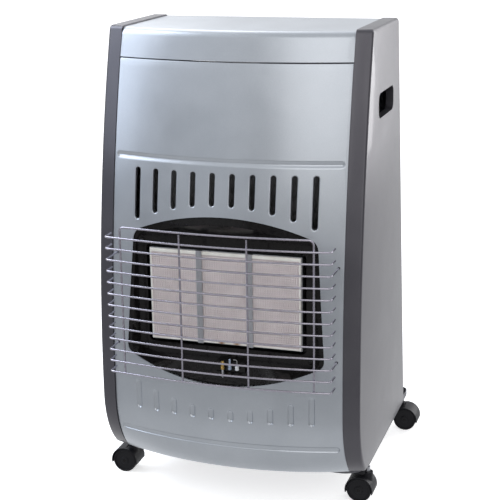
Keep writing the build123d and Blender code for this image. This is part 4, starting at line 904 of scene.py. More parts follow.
@dataclass
class FrontPanel(SubAssembly):
    """The bowed, pressed front panel."""

    low_z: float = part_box("front_panel")[0].z
    high_z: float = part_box("front_panel")[1].z - 1.5 * MM
    half_w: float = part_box("front_panel")[1].x
    lean: float = math.tan(math.radians(0.287))
    sheet: float = 1.2 * MM
    flange: float = 12.0 * MM
    edge_radius: float = 0.8 * MM
    grid: float = 8.0 * MM
    grid_gap: float = 3.0 * MM
    border_rows: int = 80
    border_columns: int = 48
    bend_angles: tuple[float, ...] = (22.5, 45.0, 67.5, 90.0)
    rim_rings: tuple[float, ...] = (0.4, 1.0, 1.6)
    fold_rings: tuple[float, ...] = (0.0, 0.2, 0.4, 0.6, 0.8, 1.0)
    slots: int = 10
    slot_pitch: float = 30.95 * MM
    slot_w: float = 8.0 * MM
    slot_top: float = 540.9 * MM
    slot_over: float = 15.5 * MM
    slot_rim: float = 4.2 * MM
    blind_low: float = 163.2 * MM
    blind_under: float = 39.0 * MM
    press_depth: float = 2.0 * MM
    press_round: float = 1.3 * MM
    weld: float = 0.005 * MM
    rib_h: float = 9.0 * MM
    rib_half: float = 178.0 * MM
    rib_heights: tuple[float, float] = (556.9 * MM, 121.1 * MM)
    hook_radius: float = 2.2 * MM
    hook_x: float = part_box("guard_wires")[1].x - 1.5 * MM
    hook_heights: tuple[float, float] = (265.02 * MM, 407.9 * MM)

    def slot_xs(self) -> list[float]:
        """Places of the ten slots across the panel."""
        return [(i - (self.slots - 1) / 2) * self.slot_pitch for i in range(self.slots)]

    def upright(self, x: float, low: float, high: float) -> Stadium:
        """An upright slot between two heights."""
        r = self.slot_w / 2
        return Stadium(x, (low + high) / 2, 0.0, (high - low) / 2 - r, r)

    def open_slots(self) -> list[Stadium]:
        """The slots that go through."""
        return [self.upright(x, OPENING.arch_z(x) + self.slot_over, self.slot_top) for x in self.slot_xs()]

    def presses(self) -> list[Stadium]:
        """The blind slots and the two long ribs."""
        r = self.rib_h / 2
        ribs = [Stadium(0.0, z, self.rib_half - r, 0.0, r) for z in self.rib_heights]
        return [self.upright(x, self.blind_low, OPENING.arch_z(x, True) - self.blind_under)
                for x in self.slot_xs()] + ribs

    def fall(self, press: Stadium) -> float:
        """How far inside its outline a recess reaches its full depth."""
        return press.radius - 0.3 * MM if press.z > self.slot_top else self.press_round

    def depth(self, x: float, z: float, presses: list[Stadium], slots: list[Stadium]) -> float:
        """How far the pressed face lies behind the bowed one.

        Args:
            x: distance from the middle.
            z: height.
            presses: recesses.
            slots: open slots, whose edges roll in.

        Returns:
            The depth in metres.
        """
        depth = 0.0
        for press in presses:
            share = (self.press_round - press.distance(x, z)) / (self.press_round + self.fall(press))
            share = min(max(share, 0.0), 1.0)
            depth = max(depth, self.press_depth * share * share * (3 - 2 * share))
        for slot in slots:
            near = min(max(1.0 - slot.distance(x, z) / self.press_round, 0.0), 1.0)
            depth = max(depth, self.press_round * (1.0 - math.sqrt(1.0 - near * near)))
        return depth

    def half_at(self, z: float) -> float:
        """Half width at a height, between the leaning side panels."""
        return self.half_w - (z - self.low_z) * self.lean

    def border(self, inset: float) -> list[Point2]:
        """Points along the panel's outer edge.

        Args:
            inset: how far inwards from the edge.

        Returns:
            The points.
        """
        low, high = self.low_z + inset, self.high_z - inset
        rows = [low + (high - low) * i / self.border_rows for i in range(self.border_rows + 1)]
        right = [(self.half_at(z) - inset, z) for z in rows]
        left = [(-x, z) for x, z in reversed(right)]
        columns = np.linspace(-1, 1, self.border_columns)[1:-1]
        top = [(-x * right[-1][0], high) for x in columns]
        bottom = [(x * right[0][0], low) for x in columns]
        return right + top + left + bottom

    def loops(self) -> tuple[list[list[Point2]], list[list[Point2]]]:
        """All outlines that the face's mesh follows.

        Returns:
            The outlines of the through holes, and the outlines of folds.
        """
        slots, presses = self.open_slots(), self.presses()
        hooks = [arc((side * self.hook_x, z), self.hook_radius, 0, 337.5, 15) for side in (-1, 1)
                 for z in self.hook_heights]
        holes = [s.outline(0.0) for s in slots] + [OPENING.outline()] + hooks
        folds = [s.outline(self.press_round * k) for s in slots for k in self.rim_rings]
        for press in presses:
            inner, span = -self.fall(press), self.press_round + self.fall(press)
            folds += [press.outline(inner + span * k) for k in self.fold_rings]
            folds.append(press.outline(self.press_round * self.rim_rings[-1]))
        return holes, folds

    def face(self) -> bmesh.types.BMesh:
        """Make the pressed face as one fine sheet.

        Returns:
            The working mesh, with its holes open.
        """
        holes, folds = self.loops()
        outer = self.border(self.edge_radius)
        points: list[Point2] = []
        edges: list[tuple[int, int]] = []
        for loop in [outer] + holes + folds:
            base = len(points)
            points += loop
            edges += [(base + i, base + (i + 1) % len(loop)) for i in range(len(loop))]
        slots, presses = self.open_slots(), self.presses()
        opening = OPENING.outline()
        for z in np.arange(self.low_z + self.grid, self.high_z - self.grid / 2, self.grid):
            for x in np.arange(-self.half_at(z) + self.grid, self.half_at(z) - self.grid / 2, self.grid):
                clear = all(abs(s.distance(x, z)) > self.grid_gap for s in slots + presses)
                if clear and np.min(np.hypot(*(np.array(opening) - (x, z)).T)) > self.grid_gap:
                    points.append((float(x), float(z)))
        verts, _, faces, *_ = delaunay_2d_cdt([Vector(p) for p in points], edges, [], 1, 1e-7)
        bm = bmesh.new()
        placed = [bm.verts.new(FRONT.point(v.x, v.y, self.depth(v.x, v.y, presses, slots))) for v in verts]
        for face in faces:
            x, z = (sum(verts[i][axis] for i in face) / len(face) for axis in (0, 1))
            in_slot = any(s.distance(x, z) < 0 for s in slots)
            in_hook = any(math.hypot(abs(x) - self.hook_x, z - h) < self.hook_radius * 0.98
                          for h in self.hook_heights)
            if not (in_slot or in_hook or inside(opening, x, z)):
                bm.faces.new([placed[i] for i in face])
        bmesh.ops.delete(bm, geom=[v for v in bm.verts if not v.link_faces], context="VERTS")
        return bm

    def turn_in(self, bm: bmesh.types.BMesh) -> None:
        """Turn the slots' rims and the panel's four edges backwards.

        Args:
            bm: the working mesh.
        """
        rims, borders = [], []
        for edge in bm.edges:
            if len(edge.link_faces) != 1:
                continue
            middle = (edge.verts[0].co + edge.verts[1].co) / 2
            at_side = abs(abs(middle.x) - self.half_at(middle.z)) < 2 * self.edge_radius
            at_end = min(abs(middle.z - self.low_z), abs(middle.z - self.high_z)) < 2 * self.edge_radius
            (borders if at_side or at_end else rims).append(edge)
        self.extend(bm, rims, [(0.0, self.slot_rim)])
        steps = [(self.edge_radius * math.sin(a), self.edge_radius * (1 - math.cos(a)))
                 for a in np.radians(self.bend_angles)]
        self.extend(bm, borders, steps + [(steps[-1][0], self.flange)])

    def extend(self, bm: bmesh.types.BMesh, edges: list[bmesh.types.BMEdge], steps: list[Point2]) -> None:
        """Extend boundary edges in steps.

        Args:
            bm: the working mesh.
            edges: boundary edges.
            steps: for each step, how far outwards and how far back it lies from the start.
        """
        origin = {v: v.co.copy() for e in edges for v in e.verts}
        for out, back in steps:
            made = bmesh.ops.extrude_edge_only(bm, edges=edges)["geom"]
            twins = {}
            for v in (g for g in made if isinstance(g, bmesh.types.BMVert)):
                old = min((o for e in v.link_edges for o in e.verts if o in origin and o is not v),
                          key=lambda o: (o.co - v.co).length)
                twins[v] = origin[old]
            for v, source in twins.items():
                v.co = self.moved(source, out, back)
            origin = twins
            edges = [g for g in made if isinstance(g, bmesh.types.BMEdge)]

    def moved(self, point: Vector, out: float, back: float) -> Vector:
        """Move a point of the face's edge.

        Args:
            point: where it was.
            out: how far outwards it goes.
            back: how far back.

        Returns:
            The new place.
        """
        x, z, near = point.x, point.z, 2 * self.weld
        if out:
            if abs(abs(x) - (self.half_at(z) - self.edge_radius)) < near:
                x += math.copysign(out, x)
            if abs(z - self.low_z - self.edge_radius) < near:
                z -= out
            if abs(self.high_z - self.edge_radius - z) < near:
                z += out
        return Vector((x, FRONT.y(x, z) + point.y - FRONT.y(point.x, point.z) + back, z))

    def build(self) -> None:
        """Make and dress the panel."""
        bm = self.face()
        self.turn_in(bm)
        bmesh.ops.remove_doubles(bm, verts=bm.verts, dist=self.weld)
        face_front(bm)
        piece = mesh_object(bm, "pressed_front_panel")
        shade(piece, 50.0)
        thicken(piece, self.sheet)
        self.dress(piece, "silver_paint", "front_panel")


@dataclass
class Cabinet(SubAssembly):
    """Side panels, top cover, rear panels, tray, shield and the casters' mounting blocks."""

    def build(self) -> None:
        """Make and dress the cabinet's plain pieces."""
        for node, finish, rounding in (
            ("left_side_panel", "dark_silver_paint", 0.5), ("right_side_panel", "dark_silver_paint", 0.5),
            ("top_cover", "silver_paint", 0.4), ("rear_cover", "dark_tray_paint", 0.4),
            ("upper_rear_panel", "dark_tray_paint", 0.4), ("base_tray", "dark_tray_paint", 0.4),
            ("heat_shield", "burner_steel", 0.3), ("caster_sockets", "black_plastic", 0.5),
        ):
            self.copy(node, finish, rounding)


@dataclass
class BurnerBezel(SubAssembly):
    """The dished black surround of the burner.

    Its rings go round one middle, each as a radius and a depth for every angle. The band and the
    plaques are given by half width, lower edge and upper edge.
    """

    flange: float = 9.0 * MM
    behind_panel: float = 1.5 * MM
    funnel_y: float = FRONT.nose_y - 23.0 * MM
    band_y: float = FRONT.nose_y + 2.0 * MM
    pocket_y: float = FRONT.nose_y + 15.0 * MM
    band: Point3 = (141.0 * MM, 246.0 * MM, 446.0 * MM)
    band_corner: float = 22.0 * MM
    plaques: Point3 = (119.4 * MM, 275.7 * MM, 419.7 * MM)
    pocket_margin: float = 7.0 * MM
    pocket_corner: float = 8.0 * MM
    window_margin: float = 1.6 * MM
    window_corner: float = 2.0 * MM
    weld: float = 0.02 * MM
    wall: float = 1.0 * MM
    roll: float = 3.2 * MM
    roll_steps: int = 4
    roll_angle: float = 24.0
    points: int = 288
    funnel_steps: int = 101

    def __post_init__(self) -> None:
        """Work out the bezel's outlines."""
        half, low, high = self.band
        self.middle_z = (low + high) / 2
        self.eye = self.reach(OPENING.outline())
        self.edge = self.reach(rounded(half, low, high, self.band_corner))
        self.pocket = self.round_plaques(self.pocket_margin, self.pocket_corner)
        self.window = self.round_plaques(self.window_margin, self.window_corner)

    def reach(self, outline: Sequence[Point2]) -> Callable[[float], float]:
        """Measure how far an outline lies from the middle.

        Args:
            outline: closed outline round the middle.

        Returns:
            A function from angle to distance.
        """
        closed = np.array(Stadium.filled(list(outline), 1.0 * MM)) - (0.0, self.middle_z)
        angles = np.arctan2(closed[:, 1], closed[:, 0])
        order = np.argsort(angles)
        lengths = np.hypot(closed[:, 0], closed[:, 1])[order]
        return lambda t: float(np.interp(t, angles[order], lengths, period=2 * math.pi))

    def round_plaques(self, margin: float, corner: float) -> Callable[[float], float]:
        """Reach of a rectangle that leaves a margin round the plaques."""
        half, low, high = self.plaques
        return self.reach(rounded(half + margin, low - margin, high + margin, corner))

    def behind(self, radius: float, t: float) -> Point2:
        """A place close behind the panel's back."""
        y = FRONT.y(radius * math.cos(t), self.middle_z + radius * math.sin(t)) + self.behind_panel
        return radius, y

    def entry(self, t: float) -> Point2:
        """Where the funnel comes out from behind the panel.

        Args:
            t: the angle.

        Returns:
            Radius and depth.
        """
        for share in np.linspace(0, 1, self.funnel_steps):
            radius = self.eye(t) + (self.edge(t) - self.eye(t)) * share
            y = self.funnel_y + (self.band_y - self.funnel_y) * share
            if y >= self.behind(radius, t)[1]:
                return radius, y
        return self.edge(t), self.band_y

    def foot(self, t: float) -> Point2:
        """Edge of the flange's inner rim.

        Args:
            t: the angle.

        Returns:
            Radius and depth.
        """
        radius, y = self.entry(t)
        back = self.behind(radius, t)
        return back if y > back[1] + 0.2 * MM else (radius, y)

    def places(self, t: float) -> list[Point2]:
        """All rings at an angle, from the flange to the window.

        Args:
            t: the angle.

        Returns:
            Radius and depth of each.
        """
        eye, pocket = self.eye(t), self.pocket(t)
        return [
            self.behind(eye + self.flange, t), self.behind(eye, t), self.foot(t), self.entry(t),
            (self.edge(t), self.band_y), (pocket, self.band_y), (pocket, self.pocket_y),
            (self.window(t), self.pocket_y),
        ]

    def build(self) -> None:
        """Make and dress the bezel."""
        bm = bmesh.new()
        turns = [-math.pi + 2 * math.pi * i / self.points for i in range(self.points)]
        rings = [
            [bm.verts.new((radius * math.cos(t), y, self.middle_z + radius * math.sin(t)))
             for t, (radius, y) in zip(turns, row)]
            for row in zip(*(self.places(t) for t in turns))
        ]
        for first, second in zip(rings, rings[1:]):
            for i in range(self.points):
                j = (i + 1) % self.points
                if (first[i].co - second[i].co).length + (first[j].co - second[j].co).length > self.weld:
                    bm.faces.new((first[i], second[i], second[j], first[j]))
        bmesh.ops.remove_doubles(bm, verts=bm.verts, dist=self.weld)
        face_front(bm)
        piece = mesh_object(bm, "dished_bezel")
        soften(piece, self.roll, self.roll_steps, self.roll_angle)
        thicken(piece, self.wall)
        shade(piece, 40.0)
        self.dress(piece, "black_enamel", "burner_bezel")


@dataclass
class Guard(SubAssembly):
    """The chrome wire guard."""

    wire: float = 1.5 * MM
    count: int = 13
    span: float = 170.0 * MM
    bow: float = 14.0 * MM
    bow_points: int = 24
    bend: float = 6.0 * MM
    leg: float = 18.0 * MM
    hooked: tuple[int, int] = (2, 10)
    plain: tuple[tuple[int, int], ...] = ((0, 1), (3, 9), (11, 12))
    frame_half: float = 150.0 * MM
    frame_bend: float = 7.0 * MM

    def __post_init__(self) -> None:
        """Take the guard's reach from the frame."""
        low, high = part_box("guard_wires")
        self.front_y = low.y + self.wire
        self.low_z = low.z + self.wire
        self.pitch = (high.z - low.z - 2 * self.wire) / (self.count - 1)
        self.hook_end = high.y

    def y(self, x: float, back: float = 0.0) -> float:
        """Depth of the bowed guard at a distance from the middle."""
        radius = (self.span ** 2 + self.bow ** 2) / (2 * self.bow)
        return self.front_y + radius - math.sqrt((radius - back) ** 2 - x * x)

    def bowed(self, reach: float, z: float, back: float = 0.0) -> tuple[list[Vector], Vector]:
        """Right half of a bowed wire at a height, and the direction in which it ends."""
        half = [Vector((x, self.y(x, back), z)) for x in np.linspace(0, reach, self.bow_points)]
        return half, (half[-1] - half[-2]).normalized()

    def rows(self, name: str, end_y: float, first: int, count: int, step: int) -> None:
        """Make and dress a stack of horizontal wires.

        Args:
            name: name of the piece.
            end_y: depth of the wires' ends.
            first: number of the lowest wire.
            count: how many wires.
            step: how many rows apart they are.
        """
        half, way = self.bowed(self.span, self.low_z)
        bend(half, way, Vector((way.y, -way.x, 0.0)), self.bend, math.pi / 2 - math.atan2(way.y, way.x))
        half.append(Vector((half[-1].x, end_y, self.low_z)))
        lift = Vector((0.0, 0.0, first * self.pitch))
        bm = bmesh.new()
        verts = [bm.verts.new(p + lift) for p in mirrored(half)]
        for a, b in zip(verts, verts[1:]):
            bm.edges.new((a, b))
        piece = mesh_object(bm, name)
        wire_rows_tree().run(piece, Count=count, Pitch=self.pitch * step, Radius=self.wire,
                             Material=self.palette.get("chrome_wire"))
        shade(piece, 60.0)
        self.dress(piece, "chrome_wire", "guard_wires")

    def frame_path(self) -> list[Vector]:
        """Middle line of the bent frame wire.

        Returns:
            The points from one foot to the other.
        """
        low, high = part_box("guard_frame_wire")
        half, way = self.bowed(self.frame_half - self.frame_bend, high.z - self.wire, 2 * self.wire)
        bend(half, way, Vector((0.0, 0.0, 1.0)), self.frame_bend)
        half.append(Vector((half[-1].x, half[-1].y, low.z)))
        return mirrored(half)

    def build(self) -> None:
        """Make and dress the guard's wires."""
        plain_end = self.y(self.span) + self.bend + self.leg
        for run, (first, last) in enumerate(self.plain, start=1):
            self.rows(f"guard_rows_{run}", plain_end, first, last - first + 1, 1)
        self.rows("guard_hooked_rows", self.hook_end, self.hooked[0], 2, self.hooked[1] - self.hooked[0])
        bent = tube(self.frame_path(), self.wire)
        self.make(bent, "guard_bent_frame", 60.0, "chrome_wire", "guard_frame_wire")
        self.copy("guard_uprights", "chrome_wire", 0.0, 60.0)


@dataclass
class Burner(SubAssembly):
    """Ceramic plaques, their holder and the hidden burner pieces."""

    columns: int = 20
    rows: int = 40
    border: float = 2.6 * MM
    head: float = 4.6 * MM
    inset: float = 0.5 * MM
    overlap: float = 0.5 * MM
    edge: float = 0.8 * MM
    hole: float = 0.40
    hole_depth: float = 3.0 * MM
    hole_sides: int = 8

    def cell(self, width: float, height: float) -> bpy.types.Object:
        """Make one cell: a flat square with a round blind hole.

        Args:
            width: the cell's width.
            height: its height.

        Returns:
            The cell, facing -Y.
        """
        bm = bmesh.new()
        x, z = width / 2, height / 2
        square = [(x, 0), (x, z), (0, z), (-x, z), (-x, 0), (-x, -z), (0, -z), (x, -z)]
        outer = [bm.verts.new((a, 0.0, b)) for a, b in square]
        radius = self.hole * min(width, height)
        rim, floor = (add_ring(bm, Vector((0.0, y, 0.0)), Vector((1.0, 0.0, 0.0)), Vector((0.0, 0.0, 1.0)),
                               radius, self.hole_sides) for y in (0.0, self.hole_depth))
        skin(bm, [outer, rim, floor], self.hole_sides)
        bm.faces.new(floor)
        face_front(bm)
        piece = mesh_object(bm, "plaque_cell")
        piece.hide_render = True
        return piece

    def plaque(self, node: str) -> None:
        """Make and dress one perforated plaque.

        Args:
            node: its frame node.
        """
        low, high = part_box(node)
        width = high.x - low.x - 2 * self.border
        height = high.z - low.z - self.border - self.head
        cell_w, cell_h = width / self.columns, height / self.rows
        cell = self.cell(cell_w, cell_h)
        bm = bmesh.new()
        bm.verts.new((0.0, 0.0, 0.0))
        holes = mesh_object(bm, node + "_field")
        centre = ((low.x + high.x) / 2, low.y + self.inset, low.z + self.border + height / 2)
        cell_grid_tree().run(holes, Cell=cell, Width=width - cell_w, Height=height - cell_h,
                             Columns=self.columns, Rows=self.rows, Centre=centre,
                             Material=self.palette.get("burner_ceramic"))
        body = self.plaque_body(low, high)
        rim_faces = set(body.faces)
        body.from_mesh(holes.data)
        for face in body.faces:
            face.material_index = int(face in rim_faces)
        for helper in (cell, holes):
            bpy.data.objects.remove(helper)
        piece = mesh_object(body, node.replace("_ceramic", "") + "_perforated")
        for finish in ("burner_ceramic", "ceramic_rim"):
            piece.data.materials.append(self.palette.get(finish))
        shade(piece, 30.0)
        self.dress(piece, "burner_ceramic", node)

    def plaque_body(self, low: Vector, high: Vector) -> bmesh.types.BMesh:
        """Make a plaque's plain body with an open front field.

        Args:
            low: lowest corner.
            high: highest corner.

        Returns:
            The working mesh.
        """
        bm = bmesh.new()
        rings = []
        for inset, y in (
            (self.border, low.y + self.inset + self.overlap), (self.border, low.y), (self.edge, low.y),
            (0.0, low.y + self.edge), (0.0, high.y),
        ):
            head = self.head if inset == self.border else inset
            x0, x1, z0, z1 = low.x + inset, high.x - inset, low.z + inset, high.z - head
            rings.append([bm.verts.new(c) for c in ((x0, y, z0), (x1, y, z0), (x1, y, z1), (x0, y, z1))])
        for first, second in zip(rings, rings[1:]):
            for i in range(4):
                j = (i + 1) % 4
                bm.faces.new((first[j], first[i], second[i], second[j]))
        bm.faces.new(rings[-1][::-1])
        return bm

    def build(self) -> None:
        """Make and dress the burner."""
        for side in ("left", "middle", "right"):
            self.plaque(side + "_ceramic_plaque")
            self.copy(side + "_plenum", "burner_steel", 0.5)
        for node, finish, rounding in (
            ("plaque_holder", "bright_steel", 0.25), ("gas_manifold", "burner_steel", 0.4),
            ("injectors", "brass", 0.2), ("burner_brackets", "burner_steel", 0.3),
        ):
            self.copy(node, finish, rounding)


@dataclass
class PilotGroup(SubAssembly):
    """Pilot burner, thermocouple and ignition electrode on their bracket."""

    sleeve: float = 3.0 * MM
    sleeve_foot: float = 9.0 * MM
    spark_wire: float = 0.75 * MM
    spark_bend: float = 2.2 * MM
    spark_gap: float = 0.2 * MM

    def upright(self, node: str, name: str, profile: Sequence[Point2], finish: str,
                x: float | None = None) -> None:
        """Turn and dress a piece on an upright axis.

        Args:
            node: the node that it stands for.
            name: name of the piece.
            profile: radius and height above the node's foot.
            finish: its finish.
            x: place of the axis across the heater, the node's middle if left off.
        """
        low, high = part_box(node)
        foot = Vector(((low.x + high.x) / 2 if x is None else x, (low.y + high.y) / 2, low.z))
        self.make(turned(profile, foot, Vector((0, 0, 1)), 24), name, 35.0, finish, node)

    def build(self) -> None:
        """Make and dress the group."""
        self.copy("pilot_bracket", "black_enamel", 0.2)
        low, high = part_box("pilot_burner")
        profile = in_mm((0, 0), (3.0, 0), (3.5, 0.5), (3.5, 4), (2.6, 4.6), (2.6, 6.4), (3.4, 7), (3.4, 10.5))
        profile += [(2.4 * MM, high.z - low.z), (0.0, high.z - low.z)]
        self.upright("pilot_burner", "pilot_burner_turned", profile, "brass")
        profile = in_mm((0, 0), (2.7, 0), (3, 0.4), (3, 3), (2.2, 3.4), (2.2, 5), (2.9, 5.4), (2.9, 7.6),
                        (1.6, 8.4), (1.6, 16.2), (1.0, 17), (0, 17))
        self.upright("thermocouple", "thermocouple_turned", profile, "blued_steel")
        self.electrode("ignition_electrode")

    def electrode(self, node: str) -> None:
        """Make and dress the ignition electrode: a ceramic sleeve with a bent wire.

        Args:
            node: its frame node.
        """
        low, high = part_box(node)
        x, y, top = high.x - self.sleeve, (low.y + high.y) / 2, high.z - self.spark_wire
        profile = in_mm((0, 0), (2.6, 0), (3, 0.4), (3, 5.6), (2.1, 6.4), (2.1, 9.2), (1.2, 10), (0, 10))
        self.upright(node, "ignition_ceramic", profile, "white_ceramic", x)
        corner = arc((x - self.spark_bend, top - self.spark_bend), self.spark_bend, 0, 90, 6)
        path = [Vector((x, y, low.z + self.sleeve_foot))] + [Vector((a, y, b)) for a, b in corner]
        path.append(Vector((low.x + self.spark_gap, y, top)))
        self.make(tube(path, self.spark_wire, 8), "ignition_wire", 60.0, "burner_steel", node)


@dataclass
class GasTrain(SubAssembly):
    """Valve, pipes, nozzle and the control knob."""

    def build(self) -> None:
        """Make and dress the gas train."""
        for node, finish, rounding in (
            ("gas_valve", "pipe_metal", 0.6), ("valve_bracket", "burner_steel", 0.3),
            ("valve_plunger", "brass", 0.3), ("valve_stem", "bright_steel", 0.3),
            ("supply_pipe", "pipe_metal", 0.0), ("pilot_pipe", "pipe_metal", 0.0),
            ("hose_nozzle", "brass", 0.3), ("control_knob", "black_plastic", 0.7),
        ):
            self.copy(node, finish, rounding)


@dataclass
class Fasteners(SubAssembly):
    """Cross-head screws; shares are of the head's radius or height."""

    radius: float = 3.8 * MM
    height: float = 2.2 * MM
    dome: tuple[Point2, ...] = ((0.0, 1.0), (0.55, 0.98), (0.85, 0.8), (1.0, 0.45), (1.0, 0.0), (0.0, 0.0))
    cross_arm: float = 0.62
    cross_half: float = 0.13
    cross_depth: float = 0.4
    seed: int = 7

    def head(self) -> bpy.types.Object:
        """Make one pan head with a cross recess, standing on XY.

        Returns:
            The head.
        """
        profile = [(self.radius * across, self.height * up) for across, up in self.dome]
        piece = mesh_object(turned(profile, Vector((0, 0, 0)), Vector((0, 0, 1))), "screw_head")
        arm, half = self.radius * self.cross_arm, self.radius * self.cross_half
        cross = bmesh.new()
        for x, y in ((arm, half), (half, arm)):
            box = bmesh.ops.create_cube(cross, size=2.0)["verts"]
            bmesh.ops.scale(cross, vec=(x, y, self.height * self.cross_depth), verts=box)
            bmesh.ops.translate(cross, vec=(0, 0, self.height), verts=box)
        tool = mesh_object(cross, "cross_tool")
        cut = piece.modifiers.new("cross", "BOOLEAN")
        cut.object, cut.solver, cut.use_self = tool, "EXACT", True
        settle(piece)
        bpy.data.objects.remove(tool)
        shade(piece, 40.0)
        return piece

    def group(self, node: str, facing: Vector, finish: str) -> None:
        """Set and dress heads where a node has its screws.

        Args:
            node: the node with the screws.
            facing: direction in which the heads point.
            finish: finish of the heads.
        """
        bm = bmesh.new()
        for middle in self.middles(node):
            bm.verts.new(middle - facing * (self.height / 2))
        piece = mesh_object(bm, node + "_heads")
        head = self.head()
        heads_tree().run(piece, Head=head, Seed=self.seed, Facing=facing, Material=self.palette.get(finish))
        bpy.data.objects.remove(head)
        shade(piece, 40.0)
        self.dress(piece, finish, node)

    @staticmethod
    def middles(node: str) -> list[Vector]:
        """Find the middle of each separate solid of a node.

        Args:
            node: the node.

        Returns:
            The middles.
        """
        bm = solid_copy(node)
        left, middles = dict.fromkeys(bm.verts), []
        while left:
            stack, found = [left.popitem()[0]], []
            while stack:
                vert = stack.pop()
                found.append(vert.co.copy())
                fresh = [v for v in (edge.other_vert(vert) for edge in vert.link_edges) if v in left]
                for v in fresh:
                    del left[v]
                stack += fresh
            low, high = (Vector([pick(c[i] for c in found) for i in range(3)]) for pick in (min, max))
            middles.append((low + high) / 2)
        bm.free()
        return middles

    def build(self) -> None:
        """Make and dress the screws."""
        self.group("bezel_screws", Vector((0, -1, 0)), "black_enamel")
        knob = next(j for j in frame["joints"] if j["name"] == "knob_turn")
        self.group("rear_screws", Vector(knob["axis"]), "bright_steel")


@dataclass
class Casters(SubAssembly):
    """Four hooded twin-wheel casters, with the wheels' sizes in millimetres."""

    corners: tuple[str, ...] = ("front_left", "front_right", "rear_left", "rear_right")
    bore: float = 2.55
    tread: float = 1.6
    web: float = 0.8
    dish: float = 1.5

    def wheel(self, node: str) -> None:
        """Turn and dress one wheel: rounded tread, dished outer face and hub.

        Args:
            node: the wheel's frame node.
        """
        low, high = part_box(node)
        radius, half = (high.z - low.z) / (2 * MM), (high.y - low.y) / (2 * MM)
        inner, outer, bore, web = -half, half, self.bore, self.web
        profile = in_mm(
            (bore, inner), (6, inner), (6, inner + web), (radius - 3.4, inner + web), (radius - 2.6, inner),
            (radius - self.tread, inner), (radius - 0.4, inner + 0.6), (radius, inner + 1.8),
            (radius, outer - 1.8), (radius - 0.4, outer - 0.6), (radius - self.tread, outer),
            (radius - 3, outer), (radius - 3.8, outer - self.dish), (7, outer - self.dish),
            (6, outer - 0.4), (4.2, outer), (bore, outer), (bore, inner),
        )
        axis = Vector((0, 1 if "rear_wheel" in node else -1, 0))
        self.make(turned(profile, (low + high) / 2, axis, 48), node + "_turned", 32.0, "wheel_plastic", node)

    def build(self) -> None:
        """Make and dress the casters."""
        for corner in self.corners:
            name = corner + "_caster"
            self.copy(name + "_housing", "black_plastic", 0.5)
            self.copy(name + "_stem", "bright_steel", 0.3)
            self.copy(name + "_axle", "black_enamel", 0.3)
            self.wheel(name + "_front_wheel")
            self.wheel(name + "_rear_wheel")


# ---------------------------------------------------------------- studio
@dataclass(frozen=True)
class SoftBox:
    """A soft box: where it hangs round the heater, in degrees, its power in watts and its colour."""

    name: str
    azimuth: float
    elevation: float
    power: float
    colour: Colour


@dataclass(frozen=True)
class Glow:
    """Light of the room from one side, which grows from its low to its high cosine."""

    direction: Point3
    low: float
    high: float
    strength: float


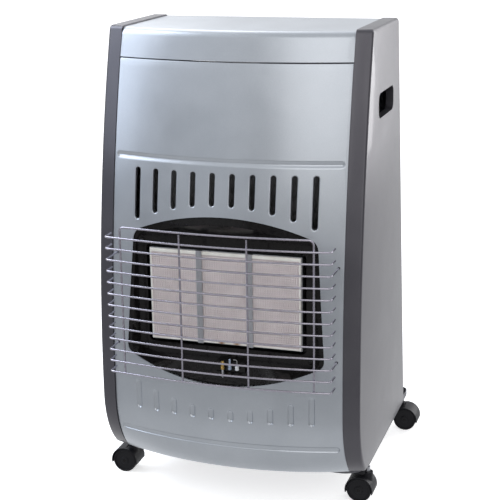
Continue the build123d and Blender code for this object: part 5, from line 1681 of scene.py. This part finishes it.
@dataclass(frozen=True)
class Studio:
    """Camera, floor and soft light."""

    eye: Point3 = (0.607354, -1.909972, 0.939876)
    yaw: float = 18.089
    pitch: float = 15.688
    roll: float = -0.881
    lens: float = 92.066
    sensor: float = 36.0
    sight: float = 50.0
    floor_size: float = 40.0
    floor_grey: float = 0.93
    floor_glow: float = 0.62
    air: Colour = (0.97, 0.98, 1.0)
    target: Point3 = (0.0, 0.0, 0.4)
    box_distance: float = 2.6
    box_size: Point2 = (1.1, 1.8)
    boxes: tuple[SoftBox, ...] = (
        SoftBox("left_box", -85.0, 42.0, 34.0, (0.80, 0.88, 1.0)),
        SoftBox("low_left_box", -62.0, 26.0, 12.5, (0.78, 0.86, 1.0)),
        SoftBox("low_front_box", -22.0, 12.0, 2.0, (0.88, 0.93, 1.0)),
        SoftBox("front_right_box", 14.0, 26.0, 8.2, (1.0, 0.99, 0.98)),
        SoftBox("right_box", 45.0, 15.0, 7.0, (1.0, 0.99, 0.98)),
        SoftBox("rear_right_box", 145.0, 12.0, 25.0, (1.0, 0.99, 1.0)),
        SoftBox("rear_left_box", -145.0, 42.0, 9.4, (0.94, 0.96, 1.0)),
    )
    glows: tuple[Glow, ...] = (
        Glow((0.0, 1.0, 0.0), -0.2, 0.6, 0.72),
        Glow((0.0, -1.0, 0.0), -0.4, 0.6, 0.25),
        Glow((0.0, 0.0, 1.0), 0.0, 0.7, 0.50),
        Glow((0.0, 0.0, -1.0), 0.0, 0.7, 0.48),
    )

    def camera(self) -> None:
        """Set up the camera at the photograph's viewpoint."""
        yaw, pitch, roll = (math.radians(a) for a in (self.yaw, self.pitch, self.roll))
        level = Vector((math.cos(yaw), math.sin(yaw), 0.0))
        ahead = Vector((-math.sin(yaw) * math.cos(pitch), math.cos(yaw) * math.cos(pitch), -math.sin(pitch)))
        above = level.cross(ahead)
        right = level * math.cos(roll) + above * math.sin(roll)
        up = above * math.cos(roll) - level * math.sin(roll)
        turn = Matrix((right, up, -ahead)).transposed().to_4x4()
        data = bpy.data.cameras.new("camera")
        data.lens, data.sensor_width, data.clip_end = self.lens, self.sensor, self.sight
        camera = bpy.data.objects.new("camera", data)
        camera.matrix_world = Matrix.Translation(self.eye) @ turn
        bpy.context.scene.collection.objects.link(camera)
        bpy.context.scene.camera = camera

    def floor(self) -> None:
        """Lay the pale floor, which reflections and bounced light leave out."""
        bm = bmesh.new()
        bmesh.ops.create_grid(bm, x_segments=1, y_segments=1, size=self.floor_size / 2)
        floor = mesh_object(bm, "floor")
        shader = Shader("floor_paper")
        shader.set(Base_Color=(*[self.floor_grey] * 3, 1.0), Roughness=0.9, Specular_IOR_Level=0.1,
                   Emission_Color=(1.0, 1.0, 1.0, 1.0), Emission_Strength=self.floor_glow)
        floor.data.materials.append(shader.material)
        floor.visible_glossy = False
        floor.visible_diffuse = False

    def lamp(self, box: SoftBox) -> None:
        """Hang a soft box that points at the heater.

        Args:
            box: the soft box.
        """
        across, up = math.radians(box.azimuth), math.radians(box.elevation)
        way = Vector((math.sin(across) * math.cos(up), -math.cos(across) * math.cos(up), math.sin(up)))
        data = bpy.data.lights.new(box.name, "AREA")
        data.shape, data.size, data.size_y = "RECTANGLE", *self.box_size
        data.energy, data.color = box.power, box.colour
        lamp = bpy.data.objects.new(box.name, data)
        lamp.location = Vector(self.target) + way * self.box_distance
        lamp.rotation_euler = (-way).to_track_quat("-Z", "Y").to_euler()
        lamp.visible_camera = False
        bpy.context.scene.collection.objects.link(lamp)

    def surroundings(self) -> None:
        """Let the room glow: most from behind the heater, and from below as a pale floor would."""
        world = bpy.data.worlds.new("room")
        bpy.context.scene.world = world
        world.use_nodes = True
        graph = Graph(world.node_tree)
        place = graph.add("TexCoord").outputs["Generated"]
        total: object = 0.0
        for glow in self.glows:
            along = graph.add("VectorMath", {0: place, 1: glow.direction}, operation="DOT_PRODUCT")
            light = graph.ramp(along.outputs["Value"], glow.low, glow.high, glow.strength, "SMOOTHSTEP")
            total = graph.math("ADD", total, light)
        background = world.node_tree.nodes["Background"]
        graph.feed(background.inputs["Color"], (*self.air, 1.0))
        graph.feed(background.inputs["Strength"], total)

    def build(self) -> None:
        """Set up the whole studio."""
        self.camera()
        self.floor()
        self.surroundings()
        for box in self.boxes:
            self.lamp(box)
        bpy.context.scene.view_settings.view_transform = "Standard"


def main() -> None:
    """Build every sub-assembly and the studio."""
    logging.basicConfig(level=logging.INFO, format="%(name)s: %(message)s")
    palette = Palette()
    parts: Iterable[SubAssembly] = (
        Cabinet(palette), FrontPanel(palette), BurnerBezel(palette), Burner(palette), PilotGroup(palette),
        Guard(palette), GasTrain(palette), Fasteners(palette), Casters(palette),
    )
    for part in parts:
        part.build()
        LOG.info("%s: %d pieces", type(part).__name__, len(part.made))
    Studio().build()


if __name__ == "__main__":
    main()
